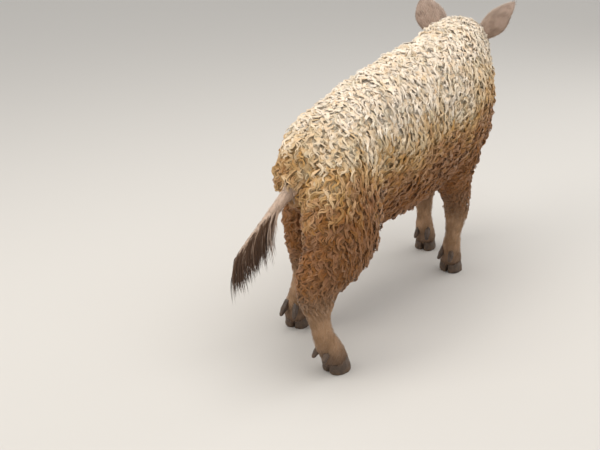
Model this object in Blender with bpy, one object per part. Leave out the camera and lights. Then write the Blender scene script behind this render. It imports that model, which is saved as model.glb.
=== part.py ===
"""Mangalica pig, a young adult standing square with its hind feet a little apart.

Metres, +Z up. The pig faces +X, its left side is +Y, and it stands on the floor at z = 0.
Rings named in the tables below are sections of the bare skin. The curly coat grows out from it.
"""

import math
from collections import namedtuple

import bmesh
import bpy
import numpy as np
from mathutils import Matrix, Vector
from mathutils.bvhtree import BVHTree

# Driving dimensions
GAP = 0.0003                # clearance between parts that touch
VOXEL = 0.006               # grain of the surface that blends trunk, head and legs
BODY_TRIANGLES = 3000       # faces kept for the whole blended surface
COAT_TRUNK = 0.030          # depth of the curly coat
COAT_POLL = 0.017
COAT_THIGH = 0.026
COAT_ARM = 0.018
COAT_SHANK = 0.006
CORE_SHARE = 0.42           # how far the closed part of the coat reaches towards its tips
CLUMP_SPACING_BODY = 0.066
CLUMP_SPACING_SMALL = 0.050  # on the neck behind the ears and down the legs
COATED_TRIANGLES = 9500      # kept after the clumps are joined
CLUMP_SIDES = 7
CLUMP_TRIES = 14000          # random places looked at for a clump
LEAST_CLUMP = 0.0085         # no clump where the coat is shorter
SEED = 11

HEAD_ORIGIN = Vector((0.475, 0.036, 0.630))
HEAD_PITCH = math.radians(36)
HEAD_YAW = math.radians(10)
HEAD_LENGTH = 0.285
HEAD_CUT = Vector((0.470, 0.030, 0.600))        # the parting of head and neck, behind the ears
HEAD_CUT_NORMAL = Vector((0.98, 0.10, 0.13)).normalized()

HIND_X, FORE_X = -0.350, 0.3465     # where a square stance puts the hooves
HIND_SWING, FORE_SWING = 0.076, 0.0575  # left hooves stand this far ahead of it, right ones behind
SWING_LOW, SWING_TOP = {"hind": 0.37, "fore": 0.30}, {"hind": 0.56, "fore": 0.50}
HOCK_FLEX = 0.046
HIND_TOE_OUT = {1: math.radians(6), -1: math.radians(16)}
FORE_TOE_OUT = {1: math.radians(5), -1: math.radians(5)}

CORONET_Z = 0.036
CORONET_SLOPE = math.radians(20)
CLAW_LENGTH, CLAW_WIDTH, CLAW_SPLIT = 0.060, 0.029, 0.004
DEWCLAW_RADIUS = 0.0092

EYE_RADIUS = 0.0125
EYE_ALONG, EYE_UP = 0.090, 0.032
EYE_SINK = 0.0080
LID_RADIUS = 0.0030

EAR_LENGTH, EAR_WIDTH, EAR_THICK = 0.172, 0.128, 0.006
SNOUT_WIDTH, SNOUT_HEIGHT, SNOUT_DEPTH = 0.082, 0.068, 0.018
NOSTRIL_RADIUS, NOSTRIL_DEPTH, NOSTRIL_SPACING = 0.0085, 0.011, 0.030
MOUTH_OPENING, MOUTH_DEPTH = 0.0026, 0.010

TAIL_ROOT = Vector((-0.425, 0.000, 0.476))
TAIL_LENGTH = 0.30

Ring = namedtuple("Ring", "x y z half_width half_height")

# Sections of the trunk from the tail root to the poll, across the body's own centre line
TRUNK = [
    Ring(-0.418, 0.000, 0.500, 0.022, 0.034),
    Ring(-0.406, 0.000, 0.497, 0.046, 0.064),
    Ring(-0.375, 0.000, 0.486, 0.068, 0.084),
    Ring(-0.330, 0.000, 0.482, 0.086, 0.107),
    Ring(-0.250, 0.000, 0.467, 0.104, 0.143),
    Ring(-0.110, 0.000, 0.460, 0.120, 0.173),
    Ring(0.040, 0.000, 0.467, 0.131, 0.187),
    Ring(0.170, 0.000, 0.478, 0.136, 0.192),
    Ring(0.290, 0.002, 0.498, 0.132, 0.188),
    Ring(0.370, 0.010, 0.542, 0.114, 0.165),
    Ring(0.430, 0.022, 0.588, 0.098, 0.134),
    Ring(0.485, 0.037, 0.626, 0.083, 0.101),
]

HeadRing = namedtuple("HeadRing", "along top bottom half_width")

# Sections of the skull and muzzle, measured along the head from the poll
SKULL = [
    HeadRing(-0.050, 0.062, -0.090, 0.070),
    HeadRing(-0.015, 0.084, -0.108, 0.084),
    HeadRing(0.030, 0.083, -0.108, 0.087),
    HeadRing(0.070, 0.070, -0.098, 0.080),
    HeadRing(0.110, 0.052, -0.082, 0.066),
    HeadRing(0.155, 0.041, -0.062, 0.053),
    HeadRing(0.205, 0.036, -0.046, 0.045),
    HeadRing(0.250, 0.038, -0.037, 0.043),
    HeadRing(0.280, 0.038, -0.034, 0.042),
]
JAW = [
    HeadRing(-0.030, -0.040, -0.112, 0.060),
    HeadRing(0.030, -0.050, -0.122, 0.067),
    HeadRing(0.080, -0.050, -0.113, 0.058),
    HeadRing(0.135, -0.044, -0.090, 0.042),
    HeadRing(0.190, -0.038, -0.068, 0.033),
    HeadRing(0.232, -0.036, -0.056, 0.028),
    HeadRing(0.248, -0.038, -0.050, 0.018),
]

LegRing = namedtuple("LegRing", "z x y fore_aft across")

# Sections of a leg in a square stance, from inside the body down to the coronet
HIND_LEG = [
    LegRing(0.540, -0.280, 0.052, 0.070, 0.035),
    LegRing(0.460, -0.286, 0.070, 0.096, 0.048),
    LegRing(0.385, -0.294, 0.086, 0.104, 0.050),
    LegRing(0.330, -0.310, 0.094, 0.100, 0.050),
    LegRing(0.285, -0.337, 0.092, 0.089, 0.044),
    LegRing(0.240, -0.374, 0.081, 0.069, 0.036),
    LegRing(0.200, -0.386, 0.079, 0.050, 0.030),
    LegRing(0.155, -0.390, 0.085, 0.031, 0.025),
    LegRing(0.110, -0.384, 0.094, 0.026, 0.024),
    LegRing(0.075, -0.371, 0.101, 0.029, 0.030),
    LegRing(0.048, -0.356, 0.106, 0.029, 0.031),
    LegRing(0.024, -0.350, 0.107, 0.029, 0.031),
]
FORE_LEG = [
    LegRing(0.560, 0.250, 0.060, 0.065, 0.035),
    LegRing(0.470, 0.262, 0.082, 0.078, 0.044),
    LegRing(0.385, 0.278, 0.090, 0.064, 0.042),
    LegRing(0.315, 0.298, 0.089, 0.047, 0.034),
    LegRing(0.250, 0.326, 0.087, 0.036, 0.030),
    LegRing(0.195, 0.340, 0.084, 0.032, 0.029),
    LegRing(0.160, 0.342, 0.081, 0.028, 0.025),
    LegRing(0.115, 0.341, 0.077, 0.024, 0.022),
    LegRing(0.075, 0.342, 0.074, 0.026, 0.027),
    LegRing(0.048, 0.346, 0.072, 0.028, 0.030),
    LegRing(0.024, 0.350, 0.072, 0.028, 0.030),
]

UP = Vector((0, 0, 1))


def clear_scene():
    for thing in list(bpy.data.objects):
        bpy.data.objects.remove(thing, do_unlink=True)


def finish_material(name, colour, roughness):
    material = bpy.data.materials.new(name)
    material.use_nodes = True
    shader = material.node_tree.nodes["Principled BSDF"]
    shader.inputs["Base Color"].default_value = (*colour, 1.0)
    shader.inputs["Roughness"].default_value = roughness
    shader.inputs["Metallic"].default_value = 0.0
    return material


def mesh_object(name, points, faces, material=None):
    mesh = bpy.data.meshes.new(name)
    mesh.from_pydata([tuple(p) for p in points], [], [tuple(f) for f in faces])
    mesh.update()
    thing = bpy.data.objects.new(name, mesh)
    bpy.context.scene.collection.objects.link(thing)
    if material:
        mesh.materials.append(material)
    return thing


def apply_modifiers(thing):
    """Replaces the object's mesh by what its modifiers make of it."""
    bpy.context.view_layer.update()
    graph = bpy.context.evaluated_depsgraph_get()
    mesh = bpy.data.meshes.new_from_object(thing.evaluated_get(graph))
    thing.modifiers.clear()
    thing.data = mesh
    return thing


def boolean(thing, other, operation):
    """Joins, cuts or trims the object by another object or by all objects of a collection."""
    step = thing.modifiers.new(operation.lower(), "BOOLEAN")
    step.operation = operation
    step.solver = "MANIFOLD"
    if isinstance(other, bpy.types.Collection):
        step.operand_type = "COLLECTION"
        step.collection = other
    else:
        step.object = other
    return apply_modifiers(thing)


def copy_of(thing, name):
    twin = thing.copy()
    twin.data = thing.data.copy()
    twin.name = name
    bpy.context.scene.collection.objects.link(twin)
    return twin


def remove(thing):
    bpy.data.objects.remove(thing, do_unlink=True)


def keep_largest(thing):
    """Deletes every closed surface of the mesh but the one with the largest volume."""
    work = bmesh.new()
    work.from_mesh(thing.data)
    left, shells = set(work.verts), []
    while left:
        seed = left.pop()
        shell, front = {seed}, [seed]
        while front:
            for edge in front.pop().link_edges:
                for corner in edge.verts:
                    if corner in left:
                        left.discard(corner)
                        shell.add(corner)
                        front.append(corner)
        shells.append(shell)
    if len(shells) > 1:
        def size(shell):
            total = 0.0
            for face in {f for v in shell for f in v.link_faces}:
                first = face.verts[0].co
                for a, b in zip(face.verts[1:-1], face.verts[2:]):
                    total += first.dot(a.co.cross(b.co))
            return total
        best = max(shells, key=size)
        bmesh.ops.delete(work, geom=[v for v in work.verts if v not in best], context="VERTS")
    bmesh.ops.triangulate(work, faces=work.faces[:])
    work.to_mesh(thing.data)
    work.free()
    return thing


def smooth_rows(rows, steps):
    """Rows of numbers with `steps` rows put between each two, on a curve through them all."""
    rows = [np.array(r, float) for r in rows]
    padded = [2 * rows[0] - rows[1], *rows, 2 * rows[-1] - rows[-2]]
    made = []
    for i in range(len(rows) - 1):
        a, b, c, d = padded[i:i + 4]
        for k in range(steps):
            t = k / steps
            made.append(0.5 * (2 * b + (c - a) * t + (2 * a - 5 * b + 4 * c - d) * t ** 2
                               + (3 * b - a - 3 * c + d) * t ** 3))
    return [*made, rows[-1]]


def superellipse(angle, squareness):
    c, s = math.cos(angle), math.sin(angle)
    power = 2 / squareness
    return math.copysign(abs(c) ** power, c), math.copysign(abs(s) ** power, s)


def loft(centres, halves, across, sides=24, squareness=2.2):
    """A closed skin over ovals. `across` gives the direction of each oval's first half width."""
    points, faces = [], []
    count = len(centres)
    for i, (centre, (wide, high)) in enumerate(zip(centres, halves)):
        ahead = (centres[min(i + 1, count - 1)] - centres[max(i - 1, 0)]).normalized()
        side = (across - ahead * across.dot(ahead)).normalized()
        up = ahead.cross(side)
        for k in range(sides):
            u, v = superellipse(2 * math.pi * k / sides, squareness)
            points.append(centre + side * (wide * u) + up * (high * v))
    for i in range(count - 1):
        for k in range(sides):
            j = (k + 1) % sides
            faces.append((i * sides + k, i * sides + j, (i + 1) * sides + j, (i + 1) * sides + k))
    for ring, turn in ((0, -1), (count - 1, 1)):
        points.append(centres[ring].copy())
        tip = len(points) - 1
        for k in range(sides):
            pair = (ring * sides + k, ring * sides + (k + 1) % sides)
            faces.append((*pair[::turn], tip))
    return points, faces


def head_axes():
    forward = Vector((math.cos(HEAD_PITCH) * math.cos(HEAD_YAW),
                      math.cos(HEAD_PITCH) * math.sin(HEAD_YAW), -math.sin(HEAD_PITCH)))
    left = Vector((-math.sin(HEAD_YAW), math.cos(HEAD_YAW), 0))
    return forward, left, forward.cross(left)


def on_head(along, left, up):
    forward, side, high = head_axes()
    return HEAD_ORIGIN + forward * along + side * left + high * up


def trunk_shell():
    rows = smooth_rows(TRUNK, 4)
    centres = [Vector(r[:3]) for r in rows]
    return loft(centres, [(r[3], r[4]) for r in rows], Vector((0, 1, 0)), 32, 2.1)


def head_shell(rings, squareness=2.3):
    rows = smooth_rows(rings, 4)
    centres = [on_head(r[0], 0, (r[1] + r[2]) / 2) for r in rows]
    halves = [(r[3], (r[1] - r[2]) / 2) for r in rows]
    return loft(centres, halves, head_axes()[1], 24, squareness)


def swing_at(z, pair):
    """How far a left leg is ahead of a square stance at this height, and a right one behind it."""
    swing = HIND_SWING if pair == "hind" else FORE_SWING
    t = min(1.0, max(0.0, (SWING_TOP[pair] - z) / (SWING_TOP[pair] - SWING_LOW[pair])))
    return swing * t * t * (3 - 2 * t)


def flex_at(z):
    """How far the left hock, the bent one, is pushed forward at this height."""
    t = min(1.0, max(0.0, (z - 0.05) / 0.46))
    return HOCK_FLEX * math.sin(math.pi * t ** 0.8)


def leg_shell(pair, side):
    rows = smooth_rows(HIND_LEG if pair == "hind" else FORE_LEG, 4)
    centres = [Vector((r[1] + side * swing_at(r[0], pair), side * r[2], r[0])) for r in rows]
    if pair == "hind" and side == 1:
        for centre in centres:
            centre.x += flex_at(centre.z)
    return loft(centres, [(r[3], r[4]) for r in rows], Vector((1, 0, 0)), 20, 2.1)


def joined(shells):
    points, faces = [], []
    for more_points, more_faces in shells:
        base = len(points)
        points += more_points
        faces += [tuple(i + base for i in f) for f in more_faces]
    return points, faces


def facing_out(thing):
    work = bmesh.new()
    work.from_mesh(thing.data)
    bmesh.ops.recalc_face_normals(work, faces=work.faces[:])
    work.to_mesh(thing.data)
    work.free()
    return thing


def skin():
    """The bare animal as one blended surface."""
    shells = [trunk_shell(), head_shell(SKULL), head_shell(JAW, 2.1)]
    for side in (1, -1):
        shells.append(leg_shell("hind", side))
        shells.append(leg_shell("fore", side))
    thing = facing_out(mesh_object("skin", *joined(shells)))
    remesh = thing.modifiers.new("blend", "REMESH")
    remesh.mode = "VOXEL"
    remesh.voxel_size = VOXEL
    soften = thing.modifiers.new("soften", "SMOOTH")
    soften.factor = 0.5
    soften.iterations = 8
    return apply_modifiers(thing)


def blend_between(value, low, high):
    t = np.clip((value - low) / (high - low), 0, 1)
    return t * t * (3 - 2 * t)


def coat_depth(points):
    """How far the coat's tips stand off the skin at each point."""
    p = np.asarray(points, float)
    upper_leg = np.where(p[:, 0] > 0.05, COAT_ARM, COAT_THIGH)
    leg = COAT_SHANK + (upper_leg - COAT_SHANK) * blend_between(p[:, 2], 0.16, 0.30)
    leg *= blend_between(p[:, 2], 0.03, 0.08)
    body = leg + (COAT_TRUNK - leg) * blend_between(p[:, 2], 0.30, 0.42)
    ahead = (p - np.array(HEAD_CUT)) @ np.array(HEAD_CUT_NORMAL)
    nape = COAT_TRUNK + (COAT_POLL - COAT_TRUNK) * blend_between(ahead, -0.07, 0.02)
    face = nape * (1 - 0.92 * blend_between(ahead, 0.03, 0.10))
    return np.where((ahead > -0.07) & (p[:, 2] > 0.33), np.minimum(body, face), body)


def vertex_arrays(thing):
    count = len(thing.data.vertices)
    points, normals = np.empty(count * 3), np.empty(count * 3)
    thing.data.vertices.foreach_get("co", points)
    thing.data.vertex_normals.foreach_get("vector", normals)
    return points.reshape(-1, 3), normals.reshape(-1, 3)


def swell(thing, depths):
    points, normals = vertex_arrays(thing)
    thing.data.vertices.foreach_set("co", (points + normals * depths[:, None]).ravel())
    thing.data.update()
    return thing


def coated_body():
    """The skin with the closed part of the coat on it, in few faces."""
    body = skin()
    points, _ = vertex_arrays(body)
    swell(body, coat_depth(points) * CORE_SHARE)
    again = body.modifiers.new("blend", "REMESH")
    again.mode = "VOXEL"
    again.voxel_size = VOXEL
    soften = body.modifiers.new("soften", "SMOOTH")
    soften.factor = 0.5
    soften.iterations = 3
    apply_modifiers(body)
    fewer = body.modifiers.new("fewer", "DECIMATE")
    fewer.ratio = BODY_TRIANGLES / (2 * len(body.data.polygons))
    apply_modifiers(body)
    body.name = "body"
    return add_clumps(keep_largest(body))


def surface_samples(thing, count, random):
    """Points spread evenly by area over a triangle mesh, each with the normal there."""
    mesh = thing.data
    mesh.calc_loop_triangles()
    corners = np.empty(len(mesh.loop_triangles) * 3, np.int64)
    mesh.loop_triangles.foreach_get("vertices", corners)
    corners = corners.reshape(-1, 3)
    points, normals = vertex_arrays(thing)
    a, b, c = (points[corners[:, k]] for k in range(3))
    area = np.linalg.norm(np.cross(b - a, c - a), axis=1)
    picked = random.choice(len(corners), count, p=area / area.sum())
    u, v = random.rand(2, count)
    over = u + v > 1
    u[over], v[over] = 1 - u[over], 1 - v[over]
    weights = np.stack([1 - u - v, u, v], axis=1)[:, :, None]
    where = (points[corners[picked]] * weights).sum(axis=1)
    facing = (normals[corners[picked]] * weights).sum(axis=1)
    return where, facing / np.linalg.norm(facing, axis=1, keepdims=True)


def clump_spacing(points, depths):
    fine = np.clip((COAT_TRUNK - depths) / (COAT_TRUNK - COAT_POLL), 0, 1)
    legs = 1 - blend_between(points[:, 2], 0.26, 0.36)
    fine = np.maximum(fine, legs)
    return CLUMP_SPACING_BODY + (CLUMP_SPACING_SMALL - CLUMP_SPACING_BODY) * fine


def clump_places(body):
    """Points with room between them all over the coated surface: place, normal, depth and spacing."""
    random = np.random.RandomState(SEED)
    points, normals = surface_samples(body, CLUMP_TRIES, random)
    depths = coat_depth(points)
    spacing = clump_spacing(points, depths)
    chosen = []
    for i in np.nonzero(depths > LEAST_CLUMP)[0]:
        apart = np.linalg.norm(points[chosen] - points[i], axis=1)
        if (apart > 0.5 * (spacing[chosen] + spacing[i])).all():
            chosen.append(i)
    return [(Vector(points[i]), Vector(normals[i]), depths[i], spacing[i]) for i in chosen]


def clump_mesh(place, normal, depth, spacing, random):
    """A rounded lump of curls lying back and down, its free end a little raised and narrower."""
    lie = Vector((-1.0, 0.0, -0.75 - 2.0 * (place.z < 0.36)))
    lie = (lie - normal * lie.dot(normal)).normalized()
    lie.rotate(Matrix.Rotation(random.uniform(-0.5, 0.5), 3, normal))
    across = normal.cross(lie)
    rise = depth * (1 - CORE_SHARE)
    high = rise + spacing * 0.20
    long = spacing * random.uniform(0.68, 0.82)
    wide = spacing * random.uniform(0.56, 0.66)
    centre = place - normal * (high - rise) * random.uniform(0.96, 1.04)
    tilt = Matrix.Rotation(-math.radians(9), 3, across)
    points = [centre + normal * high]
    for radius, level in ((0.62, 0.80), (0.97, 0.26), (0.80, -0.62)):
        for k in range(CLUMP_SIDES):
            angle = 2 * math.pi * (k + 0.25 * level) / CLUMP_SIDES
            bump = radius * random.uniform(0.93, 1.07)
            u, v = math.cos(angle) * bump, math.sin(angle) * bump
            offset = lie * (long * u) + across * (wide * v * (1 - 0.22 * u)) + normal * (high * level)
            points.append(centre + tilt @ offset)
    points.append(centre - normal * high * 0.85)
    faces = []
    for k in range(CLUMP_SIDES):
        j = (k + 1) % CLUMP_SIDES
        faces.append((0, 1 + k, 1 + j))
        for ring in (0, 1):
            a, b = 1 + ring * CLUMP_SIDES, 1 + (ring + 1) * CLUMP_SIDES
            faces += [(a + k, b + k, b + j), (a + k, b + j, a + j)]
        last = 1 + 2 * CLUMP_SIDES
        faces.append((last + k, len(points) - 1, last + j))
    return points, faces


def add_clumps(body):
    """Joins the clumps of the coat to the body in one union."""
    random = np.random.RandomState(SEED + 1)
    clumps = bpy.data.collections.new("clumps")
    for place, normal, depth, spacing in clump_places(body):
        clump = facing_out(mesh_object("clump", *clump_mesh(place, normal, depth, spacing, random)))
        bpy.context.scene.collection.objects.unlink(clump)
        clumps.objects.link(clump)
    count = len(clumps.objects)
    boolean(body, clumps, "UNION")
    for clump in list(clumps.objects):
        remove(clump)
    bpy.data.collections.remove(clumps)
    keep_largest(body)
    before = len(body.data.polygons)
    if before > COATED_TRIANGLES:
        fewer = body.modifiers.new("fewer", "DECIMATE")
        fewer.ratio = COATED_TRIANGLES / before
        apply_modifiers(body)
    print(count, "clumps,", before, "faces, then", len(body.data.polygons))
    return keep_largest(body)


def wedge(name, planes, grow):
    """A convex block bounded by planes, each a point and an outward normal, moved out by `grow`."""
    work = bmesh.new()
    bmesh.ops.create_cube(work, size=4.0)
    for point, normal in planes:
        normal = Vector(normal).normalized()
        geometry = work.verts[:] + work.edges[:] + work.faces[:]
        cut = bmesh.ops.bisect_plane(work, geom=geometry, plane_co=Vector(point) + normal * grow,
                                     plane_no=normal, clear_outer=True)
        rim = [g for g in cut["geom_cut"] if isinstance(g, bmesh.types.BMEdge)]
        bmesh.ops.contextual_create(work, geom=rim)
    bmesh.ops.recalc_face_normals(work, faces=work.faces[:])
    mesh = bpy.data.meshes.new(name)
    work.to_mesh(mesh)
    work.free()
    thing = bpy.data.objects.new(name, mesh)
    bpy.context.scene.collection.objects.link(thing)
    return thing


def leg_regions():
    """Name and bounding planes of the part of each leg below the hock or knee, and above it."""
    regions = []
    for word, side in (("left", 1), ("right", -1)):
        hock = -0.400 + side * HIND_SWING
        knee = 0.338 + side * FORE_SWING
        hip = -0.290 + side * HIND_SWING * 0.9 + (0.02 if side == 1 else 0)
        shoulder = 0.285 + side * FORE_SWING * 0.8
        inward = (0, -side, 0)
        regions += [
            (f"hind_shank_{word}", [((hock, 0, 0.262), (-0.25, 0, 1)), ((0, 0, 0), inward),
                                    ((-0.10, 0, 0.2), (1, 0, 0))]),
            (f"hind_thigh_{word}", [((hip, side * 0.046, 0.40), (0, -side * 0.97, 0.20)),
                                    ((hip, side * 0.14, 0.50), (-0.15, side * 0.12, 1)),
                                    ((hip + 0.112, 0, 0.40), (1, 0, -0.55))]),
            (f"fore_shank_{word}", [((knee, 0, 0.222), (0.10, 0, 1)), ((0, 0, 0), inward),
                                    ((0.1, 0, 0.2), (-1, 0, 0))]),
            (f"fore_arm_{word}", [((shoulder, side * 0.046, 0.36), (0, -side * 0.90, 0.32)),
                                  ((shoulder, side * 0.14, 0.48), (0.05, side * 0.12, 1)),
                                  ((shoulder - 0.098, 0, 0.36), (-1, 0, 0.10)),
                                  ((shoulder + 0.125, 0, 0.36), (1, 0, 0.10))]),
        ]
    return regions


def hoof_places():
    """Name, place on the floor, toe-out angle and side of each foot."""
    places = []
    for word, side in (("left", 1), ("right", -1)):
        places.append((f"hind_{word}", Vector((HIND_X + side * HIND_SWING, side * 0.107, 0)),
                       side * HIND_TOE_OUT[side]))
        places.append((f"fore_{word}", Vector((FORE_X + side * FORE_SWING, side * 0.072, 0)),
                       side * FORE_TOE_OUT[side]))
    return places


def coronet_plane(place, turn):
    normal = Matrix.Rotation(turn, 3, "Z") @ Vector((-math.sin(CORONET_SLOPE), 0, math.cos(CORONET_SLOPE)))
    return place + UP * CORONET_Z, normal


def claw(name, place, turn, inner, material):
    """One half of a cloven hoof: a flat sole, a rounded heel and a sloping toe, up to the coronet."""
    point, normal = coronet_plane(place, turn)
    spin = Matrix.Rotation(turn, 3, "Z")
    outline = [(-0.46, 0.14), (-0.45, 0.56), (-0.34, 0.88), (-0.10, 1.0), (0.14, 0.96), (0.34, 0.74),
               (0.47, 0.42), (0.53, 0.12), (0.44, 0.02), (0.16, 0.0), (-0.14, 0.0), (-0.36, 0.03)]
    rings = ((0.0, 1.10, 0.97, 0.16), (0.30, 1.12, 1.03, 0.11), (0.999, 0.90, 0.93, 0.0))
    points, faces = [], []
    for height, long, wide, ahead in rings:
        for u, v in outline:
            across = inner * (CLAW_SPLIT / 2 + CLAW_WIDTH * v * wide)
            flat = spin @ Vector((CLAW_LENGTH * (u * long + ahead), across, 0))
            foot = place + flat
            top = point.z - ((foot - point).xy.dot(normal.xy)) / normal.z - GAP
            foot.z = top * min(height, 1.0)
            points.append(foot)
    sides = len(outline)
    for i in range(len(rings) - 1):
        for k in range(sides):
            j = (k + 1) % sides
            faces.append((i * sides + k, i * sides + j, (i + 1) * sides + j, (i + 1) * sides + k))
    faces.append(tuple(range(sides))[::-1])
    faces.append(tuple(range(2 * sides, 3 * sides)))
    return facing_out(mesh_object(name, points, faces, material))


def cone(name, root, tip, radius, material, sides=6, belly=1.12):
    """A blunt horn from root to tip."""
    along = tip - root
    centres = [root, root + along * 0.55, root + along * 0.9, tip]
    sizes = [radius, radius * belly * 0.86, radius * 0.64, radius * 0.32]
    points, faces = loft(centres, [(s, s) for s in sizes], along.orthogonal(), sides, 2.0)
    return facing_out(mesh_object(name, points, faces, material))


def grown_copy(thing, name, depth):
    twin = copy_of(thing, name)
    points, _ = vertex_arrays(twin)
    return swell(twin, np.full(len(points), depth))


def seat_on(piece, carrier):
    """Cuts from a piece what the carrier's surface, moved out by the gap, holds."""
    cutter = grown_copy(carrier, "seat", GAP * 1.3)
    boolean(piece, cutter, "DIFFERENCE")
    remove(cutter)
    return keep_largest(piece)


def bezier(a, b, c, d, t):
    return a * (1 - t) ** 3 + b * 3 * t * (1 - t) ** 2 + c * 3 * t * t * (1 - t) + d * t ** 3


def ear(name, side, material):
    """A leaf-shaped ear, cupped along its length, its open face to the front and its tip nodding forward."""
    forward, left, up = head_axes()
    out = left * side
    root = on_head(0.004, side * 0.052, 0.052)
    rise = (out * 0.50 + up * 0.88 - forward * 0.26).normalized()
    tip = root + rise * EAR_LENGTH * 0.86 + forward * EAR_LENGTH * 0.30 + out * 0.016
    knee = root + rise * EAR_LENGTH * 0.55
    facing = (forward * 0.78 + out * 0.42 - up * 0.30).normalized()
    rows, columns = 9, 6
    widths = [0.55, 0.78, 0.94, 1.0, 0.99, 0.90, 0.73, 0.48, 0.14]
    front, back = [], []
    for i in range(rows):
        t = i / (rows - 1)
        spine = bezier(root, root.lerp(knee, 0.6), knee, tip, t)
        ahead = bezier(root, root.lerp(knee, 0.6), knee, tip, min(1, t + 0.05)) - \
            bezier(root, root.lerp(knee, 0.6), knee, tip, max(0, t - 0.05))
        ahead.normalize()
        face = (facing - ahead * facing.dot(ahead)).normalized()
        cross = ahead.cross(face)
        half = EAR_WIDTH * 0.5 * widths[i]
        curl = math.radians(90 - 55 * t)
        thick = EAR_THICK * (1.25 - 0.75 * t)
        for k in range(columns):
            s = 2 * k / (columns - 1) - 1
            angle = s * curl
            radius = half / max(curl, 0.3)
            bend = face * (radius * (1 - math.cos(angle))) + cross * (radius * math.sin(angle))
            inward = (face * math.cos(angle) - cross * math.sin(angle)).normalized()
            rim = 1 - 0.55 * abs(s) ** 3
            front.append(spine + bend + inward * thick * 0.5 * rim)
            back.append(spine + bend - inward * thick * 0.5 * rim)
    points = front + back
    base = len(front)
    faces = []

    def index(i, k, layer):
        return layer * base + i * columns + k

    for layer in (0, 1):
        for i in range(rows - 1):
            for k in range(columns - 1):
                a, b = index(i, k, layer), index(i, k + 1, layer)
                c, d = index(i + 1, k + 1, layer), index(i + 1, k, layer)
                faces += [(a, b, c), (a, c, d)]
    border = [(0, k) for k in range(columns)] + [(i, columns - 1) for i in range(1, rows)]
    border += [(rows - 1, k) for k in range(columns - 2, -1, -1)] + [(i, 0) for i in range(rows - 2, 0, -1)]
    for n, (i, k) in enumerate(border):
        i2, k2 = border[(n + 1) % len(border)]
        a, b = index(i, k, 0), index(i2, k2, 0)
        c, d = index(i2, k2, 1), index(i, k, 1)
        faces += [(a, c, b), (a, d, c)]
    return facing_out(mesh_object(name, points, faces, material))


def sphere(name, centre, radius, material=None, rings=9, segments=14, facing=UP):
    work = bmesh.new()
    turn = UP.rotation_difference(facing).to_matrix().to_4x4()
    bmesh.ops.create_uvsphere(work, u_segments=segments, v_segments=rings, radius=radius,
                              matrix=Matrix.Translation(centre) @ turn)
    mesh = bpy.data.meshes.new(name)
    work.to_mesh(mesh)
    work.free()
    thing = bpy.data.objects.new(name, mesh)
    bpy.context.scene.collection.objects.link(thing)
    if material:
        mesh.materials.append(material)
    return thing


def eye_seat(head, side):
    """Centre of an eyeball and the way it looks, nearly square to the head where it sits."""
    forward, left, up = head_axes()
    looks = (left * side * 0.86 + forward * 0.40 + up * 0.30).normalized()
    tree = BVHTree.FromObject(head, bpy.context.evaluated_depsgraph_get())
    target = on_head(EYE_ALONG, side * 0.02, EYE_UP)
    hit, normal, _, _ = tree.ray_cast(target + looks * 0.3, -looks)
    looks = (looks + normal * 2.0).normalized()
    return hit - looks * EYE_SINK, looks


def eyelids(name, centre, looks):
    """An almond rim round the eye, thicker above than below."""
    forward, left, up = head_axes()
    along = (forward - looks * forward.dot(looks)).normalized()
    high = looks.cross(along) * (1 if looks.cross(along).dot(up) > 0 else -1)
    steps, sides = 14, 6
    points, faces = [], []
    for i in range(steps):
        a = 2 * math.pi * i / steps
        x = math.cos(a) * EYE_RADIUS * 1.12
        y = math.sin(a) * EYE_RADIUS * (0.70 if math.sin(a) > 0 else 0.62)
        lift = math.sqrt(max(0.0, (EYE_RADIUS * 1.20) ** 2 - x * x - y * y))
        middle = centre + along * x + high * y + looks * lift * 0.80
        out = (along * math.cos(a) + high * math.sin(a)).normalized()
        size = LID_RADIUS * (1.30 if math.sin(a) > 0.2 else 0.95)
        for k in range(sides):
            b = 2 * math.pi * k / sides
            points.append(middle + out * size * math.cos(b) + looks * size * math.sin(b))
    for i in range(steps):
        for k in range(sides):
            j, l = (i + 1) % steps, (k + 1) % sides
            faces.append((i * sides + k, j * sides + k, j * sides + l, i * sides + l))
    return facing_out(mesh_object(name, points, faces))


def mouth_cutter():
    """A thin strip that follows the lips from one corner of the mouth round to the other."""
    steps = 9
    outer, inner = [], []
    for k in range(2 * steps + 1):
        s = k / steps - 1
        along = 0.262 - 0.135 * abs(s) ** 1.35
        wide = (0.080 * abs(s) ** 0.55) * math.copysign(1, s)
        up = -0.0460 - 0.0115 * abs(s) + 0.006 * abs(s) ** 4
        outer.append((along + 0.05 * (1 - abs(s)), wide, up))
        inside = max(0.0, 0.024 - 0.004 * abs(s))
        inner.append((along - 0.022 * (1 - abs(s)), inside * math.copysign(min(1, abs(s) * 3), s), up))
    points, faces = [], []
    for line in (outer, inner):
        for lift in (MOUTH_OPENING / 2, -MOUTH_OPENING / 2):
            points += [on_head(a, w, u + lift) for a, w, u in line]
    n = 2 * steps + 1
    for k in range(n - 1):
        o_top, o_low, i_top, i_low = k, n + k, 2 * n + k, 3 * n + k
        faces += [(o_top, o_top + 1, i_top + 1, i_top), (o_low, i_low, i_low + 1, o_low + 1),
                  (o_top, o_low, o_low + 1, o_top + 1), (i_top, i_top + 1, i_low + 1, i_low)]
    for k in (0, n - 1):
        faces.append((k, n + k, 3 * n + k, 2 * n + k))
    cutter = mesh_object("mouth", points, faces)
    triangulate(cutter)
    return facing_out(cutter)


def triangulate(thing):
    work = bmesh.new()
    work.from_mesh(thing.data)
    bmesh.ops.triangulate(work, faces=work.faces[:])
    work.to_mesh(thing.data)
    work.free()
    return thing


def snout_plane():
    forward, _, up = head_axes()
    normal = (forward * 0.985 - up * 0.17).normalized()
    return on_head(HEAD_LENGTH - SNOUT_DEPTH, 0, 0.002), normal


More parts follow.
